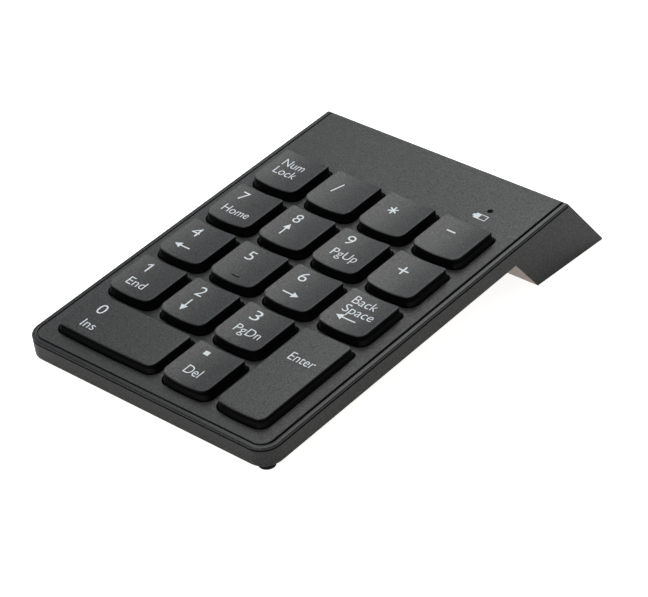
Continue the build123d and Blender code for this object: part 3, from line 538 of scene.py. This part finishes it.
def key_outline(key):
    """points with outward normals, clockwise from the rear left; rear edge on Y = 0"""
    half, front_r, rear_r = key.width / 2, KEY_FRONT_R, KEY_REAR_R
    bow_r = (half * half + key.bow * key.bow) / (2 * key.bow)
    bow_y = -key.depth + bow_r
    corner_x = half - front_r
    corner_y = bow_y - math.sqrt((bow_r - front_r) ** 2 - corner_x ** 2)
    # where the bow meets the corner
    meet = math.degrees(math.atan2(corner_y - bow_y, corner_x))
    side_steps = max(8, int(key.depth))
    points = arc(-half + rear_r, -rear_r, rear_r, 180, 90, 8)
    points += line(-half + rear_r, 0, half - rear_r, 0, 0, 1, max(8, int(key.width)))
    points += arc(half - rear_r, -rear_r, rear_r, 90, 0, 8)
    points += line(half, -rear_r, half, corner_y, 1, 0, side_steps)
    points += arc(corner_x, corner_y, front_r, 0, meet, 12)
    points += arc(0, bow_y, bow_r, meet, -180 - meet, max(16, int(key.width * 1.4)), ends=False)
    points += arc(-corner_x, corner_y, front_r, -180 - meet, -180, 12)
    points += line(-half, corner_y, -half, -rear_r, -1, 0, side_steps)
    return points


# ---------------------------------------------------------------- keycaps
TOP_SCALES = (0.03, 0.12, 0.22, 0.33, 0.44, 0.55, 0.66, 0.76, 0.85, 0.92, 0.97)
PAINTED_HIGHLIGHT_FADE = (0.8, 0.6, 0.4, 0.2, 0.1, 0.0)        # painted highlight down the rounding of the top


def cap_shell(bm, key, ceiling):
    """skin of a keycap from the middle of its top, down the skirt and up to its ceiling"""
    outline = key_outline(key)
    middle_y = -key.depth / 2
    loops, values = [], []

    def ring(outset, height, top=0.0, painted_highlight=0.0, scale=1.0):
        points = []
        for x, y, normal_x, normal_y in outline:
            px = (x + outset * normal_x) * scale
            py = middle_y + (y + outset * normal_y - middle_y) * scale
            points.append((key.x + px, key.rear + py, height(px)))
        loops.append(points)
        values.append((top, painted_highlight))

    def surface(x):
        return top_z(key, x)

    for scale in TOP_SCALES:
        ring(-TOP_R, surface, top=1.0, scale=scale)
    # the outer ring of the top and the rounding below it carry the painted highlight
    ring(-TOP_R, surface, top=1.0, painted_highlight=0.15)
    for i, painted_highlight in enumerate(PAINTED_HIGHLIGHT_FADE, 1):
        t = math.radians(90 * i / 6)
        ring(-TOP_R + TOP_R * math.sin(t), lambda x: surface(x) - TOP_R + TOP_R * math.cos(t),
             top=max(0.0, 1.0 - (i / 6.0) ** 2 * 1.25), painted_highlight=painted_highlight)
    ring(0, lambda x: surface(x) - TOP_R - 0.25)
    # outset from the upper outline and height, down the outside and up the inside
    for outset, z in (
            (0, FLARE_Z + 0.10), (0.012, FLARE_Z + 0.02), (0.045, FLARE_Z - 0.07),
            *[(FLARE * f + 0.02, FLARE_Z - (FLARE_Z - SKIRT_Z) * f) for f in (0.25, 0.5, 0.75)],
            (FLARE, SKIRT_Z + 0.12), (FLARE - 0.035, SKIRT_Z + 0.03), (FLARE - 0.12, SKIRT_Z),
            (FLARE - 0.9, SKIRT_Z), (FLARE - 1.0, SKIRT_Z + 0.1),
            (-WALL, FLARE_Z), (-WALL, ceiling - 0.08), (-WALL - 0.08, ceiling)):
        ring(outset, lambda x: z)
    rows = skin(bm, loops, values)
    # close the top and the ceiling
    for row, z, top in ((rows[0], top_z(key, 0), 1.0), (rows[-1], ceiling, 0.0)):
        center = bm.verts.new((key.x, key.rear + middle_y, z))
        center[bm.verts.layers.float["top"]] = top
        for i in range(len(row)):
            j = (i + 1) % len(row)
            bm.faces.new((row[j], row[i], center) if top else (row[i], row[j], center))


def wire_clip(bm, along_y, start, end, middle, top):
    """block with a round hole for the bar of a stabilizer wire, which runs along X or Y
    from start to end; middle is its place across"""
    half, bottom, bar_z, hole_r = 0.95, -1.15, -0.2, 0.5
    corner_angles = [math.atan2(z - bar_z, side * half) % (2 * math.pi)
                     for side in (-1, 1) for z in (bottom, top)]
    inner, outer = [], []
    for a in sorted([2 * math.pi * i / 24 for i in range(24)] + corner_angles):
        c, s = math.cos(a), math.sin(a)
        reach = min(half / max(abs(c), 1e-9),
                    ((top - bar_z) if s > 0 else (bar_z - bottom)) / max(abs(s), 1e-9))
        inner.append((middle + hole_r * c, bar_z + hole_r * s))
        outer.append((middle + reach * c, bar_z + reach * s))
    skin(bm, [[(q, u, z) if along_y else (u, q, z) for q, z in loop] for u, loop in (
        (start, inner), (start, outer), (end, outer), (end, inner), (start, inner))])


def cap_underside(bm, key, ceiling):
    """plunger, post, retaining lugs and, on the wide keys, clips for the stabilizer"""
    x = key.x
    y = key.rear - (key.depth if key.wide else key.width) / 2
    along_y = key.name == "enter"
    lug_half, lug_bottom, lug_top = 0.85, -1.8, -1.15
    tube(bm, x, y, inner=3.45, outer=3.95, z0=lug_bottom, z1=ceiling)
    peg(bm, x, y, radius=1.5, z0=-1.0, z1=ceiling)
    for side in (-1, 1):
        a, b = sorted((side * 3.6, side * 4.4))
        if along_y:
            block(bm, x - lug_half, x + lug_half, y + a, y + b, lug_bottom, lug_top)
        else:
            block(bm, x + a, x + b, y - lug_half, y + lug_half, lug_bottom, lug_top)
    if key.wide:
        bar_offset = 5.766        # of the stabilizer bar from the plunger
        along, across = (y, x) if along_y else (x, y)
        for side in (-1, 1):
            a, b = sorted((side * 8.2, side * 9.8))
            wire_clip(bm, along_y, along + a, along + b, across + bar_offset, ceiling)


def touch_bar(bm, key):
    """raised bar on key 5, sized from what stands above the key's front part in the CAD"""
    front = key.rear - key.depth
    lo, hi = box_of([
        p for p in deck_points("key_5")
        if abs(p.x - key.x) < 2.6 and p.z > top_z(key, p.x - key.x) + 0.08
        and front + 1.2 < p.y < front + 4.5])
    length, radius = hi.x - lo.x, (hi.y - lo.y) / 2
    x, y = (lo.x + hi.x) / 2, (lo.y + hi.y) / 2
    loops = []
    for outset, z in ((0.0, MID_Z - 0.1), (-0.01, hi.z - 0.12), (-0.05, hi.z - 0.04),
                      (-0.14, hi.z)):
        outline = arc(x + length / 2 - radius, y, radius + outset, 90, -90, 10)
        outline += arc(x - length / 2 + radius, y, radius + outset, -90, -270, 10)
        loops.append([(p[0], p[1], z) for p in outline])
    # the bar's sides take mostly the black skirt colour, a painted shade, and its upper rounding
    # a painted highlight
    rows = skin(bm, loops, values=[(0.2, 0), (0.2, 0), (0.6, 0.3), (1, 0)])
    cap_ends(bm, rows[0], rows[-1])


def keycap(key):
    # the wide keys clear the eyes of their stabilizer wires
    ceiling = 1.95 if key.wide else 1.5
    bm = bmesh.new()
    bm.verts.layers.float.new("top")
    bm.verts.layers.float.new("painted_highlight")
    cap_shell(bm, key, ceiling)
    cap_underside(bm, key, ceiling)
    if key.name == "5":
        touch_bar(bm, key)
    node = "key_" + key.name
    finish_mesh("keycap_" + key.name, bm, node, 50, node, "keycap_plastic")


for key in KEYS.values():
    keycap(key)


# ---------------------------------------------------------------- deck panel
PANEL_EDGE_R = 0.13               # rounding of the panel's upper edge
KEY_HOLE_R = 0.16                 # and of the edges of its key holes
LEFT_GROWTH = 0.24                # the panel reaches this much further to the left
LIGHT_HOLE_R, LIGHT_EDGE_R = 0.80, 0.1           # hole over the indicator, and its rounding


def edge_inset(radius, z):
    """how far an upper edge rounded with a radius is set back at height z"""
    depth = min(max(-z, 0), radius)
    return radius - math.sqrt(max(radius * radius - (radius - depth) ** 2, 0))


def rear_edge_y(z):
    """rear edge of the casing at height z: rounded fold, then the slope"""
    if z >= -FOLD_R * (1 - math.cos(SLOPE)):
        return FOLD_Y + math.sqrt(max(FOLD_R ** 2 - (z + FOLD_R) ** 2, 0))
    return REAR_Y - z * COT


def panel_outline(half, front, radius, rear):
    """rounded front corners, square rear, clockwise from the rear left"""
    points = [(-half, rear, -1, 0), (half, rear, 1, 0)]
    points += line(half, rear, half, front + radius, 1, 0, 24)
    points += arc(half - radius, front + radius, radius, 0, -90, 16)
    points += line(half - radius, front, -half + radius, front, 0, -1, 16)
    points += arc(-half + radius, front + radius, radius, -90, -180, 16)
    points += line(-half, front + radius, -half, rear, -1, 0, 24)
    return points


def panel_hole(bm, outline, outset, radius, angles):
    """wall of a hole with a rounded upper edge; returns its top and bottom row"""
    loops = []
    for a in angles:
        t = math.radians(a)
        grow = outset + radius * (1 - math.sin(t))
        z = -radius * (1 - math.cos(t))
        loops.append([(x + grow * normal_x, y + grow * normal_y, z)
                      for x, y, normal_x, normal_y in outline])
    loops.append([(x, y, -PANEL_T) for x, y, z in loops[-1]])
    rows = skin(bm, [list(reversed(loop)) for loop in loops])
    return rows[0], rows[-1]


def deck_plate():
    bm = bmesh.new()
    fold_angles = (0, 4, 8, 12, 16, 21, 26, 31, 36, 41, 46, 51, 55.6)
    levels = [-FOLD_R * (1 - math.cos(math.radians(a))) for a in fold_angles] + [-PANEL_T]
    loops = []
    for z in levels:
        inset = edge_inset(PANEL_EDGE_R, z)
        points = panel_outline(PANEL_HALF - inset, PANEL_FRONT + inset,
                               CORNER_R - (HALF_WIDTH - PANEL_HALF) - inset, rear_edge_y(z))
        loops.append([(p[0] - (LEFT_GROWTH if p[0] < -20 else 0.0), p[1], z) for p in points])
    rows = skin(bm, loops)
    holes = []
    for key in KEYS.values():
        outline = [(key.x + x, key.rear + y, normal_x, normal_y)
                   for x, y, normal_x, normal_y in key_outline(key)]
        holes.append(panel_hole(bm, outline, FLARE + KEY_GAP, KEY_HOLE_R,
                                angles=(0, 18, 36, 54, 72, 90)))
    lo, hi = box_of(deck_points("light_pipe"))
    turns = [-i * math.pi / 16 for i in range(32)]
    outline = [((lo.x + hi.x) / 2, (lo.y + hi.y) / 2, math.cos(a), math.sin(a)) for a in turns]
    holes.append(panel_hole(bm, outline, LIGHT_HOLE_R, LIGHT_EDGE_R, angles=(0, 30, 60, 90)))
    # upper and lower face, each with its holes
    for side, outer in enumerate((rows[0], rows[-1])):
        rings = [outer] + [hole[side] for hole in holes]
        verts = [v for ring in rings for v in ring]
        for triangle in tessellate_polygon([[v.co.copy() for v in ring] for ring in rings]):
            corners = [verts[i] for i in triangle]
            if len(set(corners)) == 3:
                # guards against a triangle that the tessellation gives twice
                try:
                    bm.faces.new(list(reversed(corners)) if side else corners)
                except ValueError:
                    pass
    finish_mesh("deck_plate", bm, "casing", 40, "deck_panel", "deck_plastic")


deck_plate()


# ---------------------------------------------------------------- rim round the panel
RIM_OUTER_R, RIM_INNER_R = 0.42, 0.14            # roundings of its upper edges
RIM_TOP = -0.03
RIM_INNER_X = 41.36               # its inner face, from the middle of the casing
REAR_CORNER_R = 0.7               # upright corners of the rear face


def cut_plane(bm, point, normal):
    """cuts away what lies beyond a plane and closes the cut"""
    geometry = bm.verts[:] + bm.edges[:] + bm.faces[:]
    cut = bmesh.ops.bisect_plane(bm, geom=geometry, dist=1e-6, plane_co=point,
                                 plane_no=normal, clear_outer=True)["geom_cut"]
    edges = [e for e in cut if isinstance(e, bmesh.types.BMEdge)]
    edges = [e for e in edges if e.is_valid and len(e.link_faces) == 1]
    if edges:
        bmesh.ops.holes_fill(bm, edges=edges, sides=0)


def rear_planes():
    """point and normal of the planes that shape the rear: slope, fold, rounded corners"""
    sin_slope, cos_slope = math.sin(SLOPE), math.cos(SLOPE)
    planes = [((0, REAR_Y, 0), (0, sin_slope, cos_slope))]
    for a in (4, 10, 16, 22, 28, 34, 40, 46, 51):
        t = math.radians(a)
        normal = (0, math.sin(t), math.cos(t))
        point = (0, FOLD_Y + FOLD_R * normal[1], -FOLD_R + FOLD_R * normal[2])
        planes.append((point, normal))
    for a in range(8, 90, 10):
        t = math.radians(a)
        for side in (-1, 1):
            normal = Vector((side * sin_slope * math.cos(t), sin_slope * math.sin(t),
                             cos_slope * math.sin(t))).normalized()
            point = (side * (HALF_WIDTH - REAR_CORNER_R + REAR_CORNER_R * math.cos(t)),
                     REAR_Y - REAR_CORNER_R + REAR_CORNER_R * math.sin(t), 0)
            planes.append((point, tuple(normal)))
    return planes


def rim_section():
    """inset from the outer face of the casing, and height"""
    inner = HALF_WIDTH - RIM_INNER_X
    section = [(0.28, -0.90), (0.28, -0.66), (0.04, -0.64), (0.0, -0.60)]
    for a in (0, 12, 24, 36, 48, 60, 72, 82, 90):
        t = math.radians(a)
        section.append((RIM_OUTER_R - RIM_OUTER_R * math.cos(t),
                        RIM_TOP - RIM_OUTER_R + RIM_OUTER_R * math.sin(t)))
    for a in (0, 30, 60, 90):
        t = math.radians(a)
        section.append((inner - RIM_INNER_R + RIM_INNER_R * math.sin(t),
                        RIM_TOP - RIM_INNER_R + RIM_INNER_R * math.cos(t)))
    section += [(inner, -0.60), (1.725, -0.60), (1.725, -0.97), (2.8, -0.97), (2.8, -1.35),
                (1.4, -1.35), (1.4, -0.90)]
    return section


def rim():
    """a section swept along the right side, the front and the left side"""
    side_y = (64, 50, 35, 20, 5, -10, -25, -40)
    corner_x, corner_y = HALF_WIDTH - CORNER_R, FRONT_Y + CORNER_R
    path = [(HALF_WIDTH, y, 1, 0) for y in side_y]
    path += arc(corner_x, corner_y, CORNER_R, 0, -90, 20)
    path += line(corner_x, FRONT_Y, -corner_x, FRONT_Y, 0, -1, 10)
    path += arc(-corner_x, corner_y, CORNER_R, -90, -180, 20)
    path += [(-HALF_WIDTH, y, -1, 0) for y in reversed(side_y)]
    section = rim_section()
    bm = bmesh.new()
    rows = skin(bm, [[(x - normal_x * inset, y - normal_y * inset, z) for inset, z in section]
                     for x, y, normal_x, normal_y in path])
    cap_ends(bm, rows[-1], rows[0])
    bmesh.ops.recalc_face_normals(bm, faces=bm.faces)
    for point, normal in rear_planes():
        cut_plane(bm, point, normal)
    finish_mesh("rim_strip", bm, "casing", 30, "rim_ring", "rim_plastic")


rim()


# ---------------------------------------------------------------- flat shapes for the prints
FLAT = 0.05                       # half thickness of a shape before it is laid on a surface


def glyphs(text):
    """a word as closed flat solids, baseline on Y = 0"""
    curve = bpy.data.curves.new("word", "FONT")
    curve.body = text
    curve.size = 1.0
    curve.extrude = FLAT
    curve.offset = -0.006
    curve.resolution_u = 6
    obj = bpy.data.objects.new("word", curve)
    scene.collection.objects.link(obj)
    bpy.context.view_layer.update()
    evaluated = obj.evaluated_get(bpy.context.evaluated_depsgraph_get())
    mesh = bpy.data.meshes.new_from_object(evaluated)
    bm = bmesh.new()
    bm.from_mesh(mesh)
    bmesh.ops.remove_doubles(bm, verts=bm.verts, dist=1e-5)
    bpy.data.objects.remove(obj)
    bpy.data.curves.remove(curve)
    bpy.data.meshes.remove(mesh)
    return bm


def capital_height():
    bm = glyphs("E")
    height = max(v.co.y for v in bm.verts)
    bm.free()
    return height


CAPITAL = capital_height()        # in the units of the font


def word(text, x0, x1, baseline, height):
    """a word between x0 and x1; height is that of its capitals"""
    bm = glyphs(text)
    low = min(v.co.x for v in bm.verts)
    high = max(v.co.x for v in bm.verts)
    for v in bm.verts:
        v.co.x = x0 + (v.co.x - low) / (high - low) * (x1 - x0)
        v.co.y = baseline + v.co.y / CAPITAL * height
    return bm


def prism(points):
    bm = bmesh.new()
    lower = [bm.verts.new((x, y, -FLAT)) for x, y in points]
    upper = [bm.verts.new((x, y, FLAT)) for x, y in points]
    for i in range(len(points)):
        j = (i + 1) % len(points)
        bm.faces.new((lower[i], lower[j], upper[j], upper[i]))
    cap_ends(bm, lower, upper)
    return bm


def rectangle(x0, y0, x1, y1):
    return prism([(x0, y0), (x1, y0), (x1, y1), (x0, y1)])


def stroke(x0, y0, x1, y1, thick):
    """a bar with rounded ends"""
    along = math.atan2(y1 - y0, x1 - x0)
    points = []
    for x, y, start in ((x1, y1, -90), (x0, y0, 90)):
        for i in range(7):
            a = along + math.radians(start + 180 * i / 6)
            points.append((x + thick / 2 * math.cos(a), y + thick / 2 * math.sin(a)))
    return prism(points)


def star(center_x, center_y, *arms):
    """bars from one centre as a single outline; an arm is the x, y of its tip and its
    thickness"""
    arms = sorted((math.atan2(y - center_y, x - center_x), x, y, thick / 2)
                  for x, y, thick in arms)
    points = []
    for i, (angle, x, y, half) in enumerate(arms):
        next_angle, _, _, next_half = arms[(i + 1) % len(arms)]
        gap = (next_angle - angle) % (2 * math.pi)
        for turn in range(-90, 91, 30):
            a = angle + math.radians(turn)
            points.append((x + half * math.cos(a), y + half * math.sin(a)))
        if gap < math.pi - 0.01:
            # the inner corner between two arms
            k = math.sin(gap)
            points.append((
                center_x + (half * math.cos(next_angle) + next_half * math.cos(angle)) / k,
                center_y + (half * math.sin(next_angle) + next_half * math.sin(angle)) / k))
        else:
            # round the outside of the centre
            for j in range(7):
                a = angle + math.pi / 2 + (gap - math.pi) * j / 6
                radius = half + (next_half - half) * j / 6
                points.append((center_x + radius * math.cos(a),
                               center_y + radius * math.sin(a)))
    return prism(points)


def cells(xs, ys, filled):
    """the filled cells of a grid, without faces between neighbours"""
    bm = bmesh.new()
    made = {}

    def vert(i, j, z):
        if (i, j, z) not in made:
            made[i, j, z] = bm.verts.new((xs[i], ys[j], z))
        return made[i, j, z]

    for i, j in sorted(filled):
        ring = ((i, j), (i + 1, j), (i + 1, j + 1), (i, j + 1))
        bm.faces.new([vert(a, b, FLAT) for a, b in ring])
        bm.faces.new([vert(a, b, -FLAT) for a, b in reversed(ring)])
        for side, neighbour in enumerate(((i, j - 1), (i + 1, j), (i, j + 1), (i - 1, j))):
            if neighbour not in filled:
                (a, b), (c, d) = ring[side], ring[(side + 1) % 4]
                bm.faces.new((vert(a, b, -FLAT), vert(c, d, -FLAT),
                              vert(c, d, FLAT), vert(a, b, FLAT)))
    return bm


def arrow(x, y, along_x, along_y, length):
    """arrow whose tip is at x, y and which points along along_x, along_y"""
    head, head_half, shaft_half = 2.1, 1.1, 0.21
    points = []
    # distance back from the tip, and sideways
    for back, aside in ((0, 0), (head, head_half), (head, shaft_half), (length, shaft_half),
                        (length, -shaft_half), (head, -shaft_half), (head, -head_half)):
        points.append((x - along_x * back - along_y * aside,
                       y - along_y * back + along_x * aside))
    return prism(points)


# ---------------------------------------------------------------- prints
# the tables below are written for columns centred on the casing
COLUMN_SHIFT = KEYS["5"].x + 9.5
STRIP = 0.8                       # a print is cut into strips this wide to follow a curve
SUNK = 0.03                       # depth of its underside below the surface


def print_on(name, body, parts, surface, up=0.016):
    """joins flat solids into one print that follows surface(x) and stands up above it"""
    bm = bmesh.new()
    for part in parts:
        mesh = bpy.data.meshes.new("part")
        part.to_mesh(mesh)
        part.free()
        bm.from_mesh(mesh)
        bpy.data.meshes.remove(mesh)
    for v in bm.verts:
        v.co.x += COLUMN_SHIFT
    xs = [v.co.x for v in bm.verts]
    x = math.floor(min(xs) / STRIP) * STRIP
    while x < max(xs):
        x += STRIP
        bmesh.ops.bisect_plane(bm, geom=bm.verts[:] + bm.edges[:] + bm.faces[:], dist=1e-6,
                               plane_co=(x, 0, 0), plane_no=(1, 0, 0))
    for v in bm.verts:
        v.co.z = surface(v.co.x) + (up if v.co.z > 0 else -SUNK)
    finish_mesh(name, bm, body, 30)


# the shapes on each key: the function that draws one, then its arguments
LEGENDS = {
    "num_lock": [(word, "Num", -33.1, -25.75, 31.65, 2.95),
                 (word, "Lock", -33.05, -25.65, 27.7, 2.95)],
    "divide": [(stroke, -12.85, 29.45, -11.65, 33.4, 0.46)],
    "multiply": [(star, 7.4, 31.6, (7.4, 30.2, 0.46), (7.4, 33.0, 0.46), (6.25, 30.95, 0.46),
                  (8.55, 32.25, 0.46), (6.25, 32.25, 0.46), (8.55, 30.95, 0.46))],
    "subtract": [(stroke, 25.35, 32.5, 27.85, 32.5, 0.52)],
    "7": [(word, "7", -33.0, -30.5, 13.0, 3.5), (word, "Home", -33.2, -24.05, 6.95, 2.85)],
    "8": [(word, "8", -13.1, -10.85, 13.15, 3.5), (arrow, -12.0, 12.1, 0, 1, 4.9)],
    "9": [(word, "9", 5.15, 7.65, 13.3, 3.6), (word, "PgUp", 5.3, 13.85, 7.8, 2.9)],
    "add": [(star, 26.85, 12.5, (25.4, 12.5, 0.52), (28.3, 12.5, 0.52), (26.85, 11.05, 0.52),
             (26.85, 13.95, 0.52))],
    "4": [(word, "4", -32.85, -30.1, -6.15, 3.6), (arrow, -33.25, -11.0, -1, 0, 5.3)],
    "5": [(word, "5", -12.85, -10.5, -6.1, 3.55)],
    "6": [(word, "6", 5.3, 7.85, -5.55, 3.6), (arrow, 11.0, -11.0, 1, 0, 5.4)],
    "backspace": [(word, "Back", 23.95, 31.7, -5.15, 3.0),
                  (word, "Space", 23.9, 33.7, -9.0, 3.0), (arrow, 24.0, -11.0, -1, 0, 6.4)],
    "1": [(star, -31.3, -21.45, (-31.3, -24.6, 0.5), (-32.35, -22.15, 0.42)),
          (word, "End", -32.55, -26.45, -31.1, 2.9)],
    "2": [(word, "2", -13.35, -10.9, -24.95, 3.7), (arrow, -12.0, -31.75, 0, -1, 5.0)],
    "3": [(word, "3", 5.75, 8.4, -24.6, 3.7), (word, "PgDn", 5.45, 14.05, -30.3, 2.9)],
    "enter": [(word, "Enter", 25.05, 33.35, -31.35, 2.95)],
    "0": [(word, "0", -30.6, -28.05, -44.6, 3.65), (word, "Ins", -30.1, -25.5, -50.65, 2.9)],
    "decimal": [(rectangle, 5.85, -41.9, 7.45, -40.4), (word, "Del", 6.15, 11.2, -49.85, 3.1)],
}
for name, shapes in LEGENDS.items():
    key = KEYS[name]
    print_on("legend_" + name, "key_" + name, [draw(*values) for draw, *values in shapes],
             lambda x: top_z(key, x - key.x))

# battery mark beside the indicator: two bars of full height, joined at the front and rear,
# with a nub on the left
BATTERY_X = (24.35, 24.95, 26.6, 28.69, 28.95)
BATTERY_Y = (43.25, 43.51, 43.85, 44.85, 45.19, 45.45)
BATTERY_CELLS = {(0, 2), (2, 0), (2, 4)} | {(i, j) for i in (1, 3) for j in range(5)}
print_on("battery_mark", "casing", [cells(BATTERY_X, BATTERY_Y, BATTERY_CELLS)],
         lambda x: 0.0, up=0.014)


# ---------------------------------------------------------------- floor
FLOOR_HALF, FLOOR_STEPS = 6.0, 24                # metres
FLOOR_GLOW = 0.10                 # what the object sees of the floor
CAMERA_GLOW = 0.80                # and how much paler the camera sees it


def floor_material():
    """pale and glowing; lets light through from below and casts no shadow"""
    material = bpy.data.materials.new("floor")
    nodes = Nodes(material)
    diffuse = nodes.node("BsdfDiffuse", {0: (0.86, 0.86, 0.86)}).outputs[0]
    camera_ray = nodes.node("LightPath").outputs["Is Camera Ray"]
    glow = nodes.add(FLOOR_GLOW, nodes.multiply(camera_ray, CAMERA_GLOW))
    emission = nodes.node("Emission", {0: (1, 0.995, 0.985), 1: glow}).outputs[0]
    surface = nodes.node("AddShader", {0: diffuse, 1: emission}).outputs[0]
    clear = nodes.node("BsdfTransparent").outputs[0]
    shadow_ray = nodes.node("LightPath").outputs["Is Shadow Ray"]
    backfacing = nodes.node("NewGeometry").outputs["Backfacing"]
    hidden = nodes.math("MAXIMUM", shadow_ray, backfacing)
    mixed = nodes.node("MixShader", {0: hidden, 1: surface, 2: clear}).outputs[0]
    nodes.node("OutputMaterial", {0: mixed})
    return material


def floor():
    mesh = bpy.data.meshes.new("floor")
    places = [-FLOOR_HALF + 2 * FLOOR_HALF * i / FLOOR_STEPS for i in range(FLOOR_STEPS + 1)]
    row = FLOOR_STEPS + 1
    corners = [j * row + i for j in range(FLOOR_STEPS) for i in range(FLOOR_STEPS)]
    mesh.from_pydata([(x, y, 0) for y in places for x in places], [],
                     [(a, a + 1, a + row + 1, a + row) for a in corners])
    obj = bpy.data.objects.new("floor", mesh)
    scene.collection.objects.link(obj)
    mesh.materials.append(floor_material())


floor()

# ---------------------------------------------------------------- lights
# name, place, what it aims at, width, height (metres), power (watts), colour
LIGHTS = (
    ("overhead", (-0.10, 0.72, 0.70), (0, 0.02, 0.01), 1.0, 0.8, 3.1, (0.97, 1.0, 0.98)),
    ("key_light", (-0.43, 0.53, 0.85), (0.01, -0.01, 0.02), 0.4, 0.4, 0.9, (1.0, 0.99, 0.965)),
    ("back_left", (-0.98, 0.72, 0.55), (0, 0.0, 0.01), 0.7, 0.7, 0.5, (0.70, 0.82, 1.0)),
    ("left_fill", (-1.1, -0.15, 0.55), (0, 0, 0.02), 0.7, 0.7, 2.3, (0.86, 0.94, 1.0)),
    ("front_fill", (0.1, -1.2, 0.75), (0, 0, 0), 1.0, 0.6, 3.6, (0.95, 1.0, 0.97)),
    ("under", (-0.27, 0.20, -0.48), (0.01, 0.04, 0.0), 0.5, 0.5, 8.0, (1.0, 0.84, 0.76)),
    ("top", (-0.25, 0.0, 1.2), (0, 0, 0), 0.9, 0.9, 4.6, (1.0, 0.99, 0.965)),
    ("horizon", (0.0, 1.8, 0.22), (0, 0, 0.02), 3.0, 0.35, 3.5, (1, 1, 1)),
)
for name, place, aim, width, height, power, colour in LIGHTS:
    light = bpy.data.lights.new(name, "AREA")
    light.shape = "RECTANGLE"
    light.size = width
    light.size_y = height
    light.energy = power
    light.color = colour
    light.spread = math.pi
    lamp = bpy.data.objects.new(name, light)
    lamp.location = place
    lamp.rotation_mode = "QUATERNION"
    lamp.rotation_quaternion = (Vector(aim) - Vector(place)).to_track_quat("-Z", "Y")
    scene.collection.objects.link(lamp)


def studio_world():
    """faint light on the object, plain white to the camera"""
    world = bpy.data.worlds.new("studio")
    scene.world = world
    nodes = Nodes(world)
    ambient = nodes.node("Background", {"Color": (0.96, 1.0, 0.97), "Strength": 0.20})
    backdrop = nodes.node("Background", {"Color": (1, 1, 1), "Strength": 1.0})
    camera_ray = nodes.node("LightPath").outputs["Is Camera Ray"]
    mixed = nodes.node("MixShader", {0: camera_ray, 1: ambient.outputs[0],
                                     2: backdrop.outputs[0]})
    nodes.node("OutputWorld", {0: mixed.outputs[0]})


studio_world()

# ---------------------------------------------------------------- camera and render
lens = bpy.data.cameras.new("camera")
lens.lens = 151.5713859585301
lens.sensor_width = 36.0
lens.sensor_fit = "HORIZONTAL"
lens.clip_start = 0.01
lens.clip_end = 50
camera = bpy.data.objects.new("camera", lens)
camera.location = (0.420143333, -0.439378018, 0.403795970)
camera.rotation_mode = "QUATERNION"
camera.rotation_quaternion = (0.8289461252744912, 0.43244987609528657,
                              0.1908539618855186, 0.29901536965544095)
scene.collection.objects.link(camera)
scene.camera = camera

scene.view_settings.view_transform = "Standard"
scene.view_settings.look = "None"
scene.view_settings.exposure = 0.0
scene.view_settings.gamma = 1.0
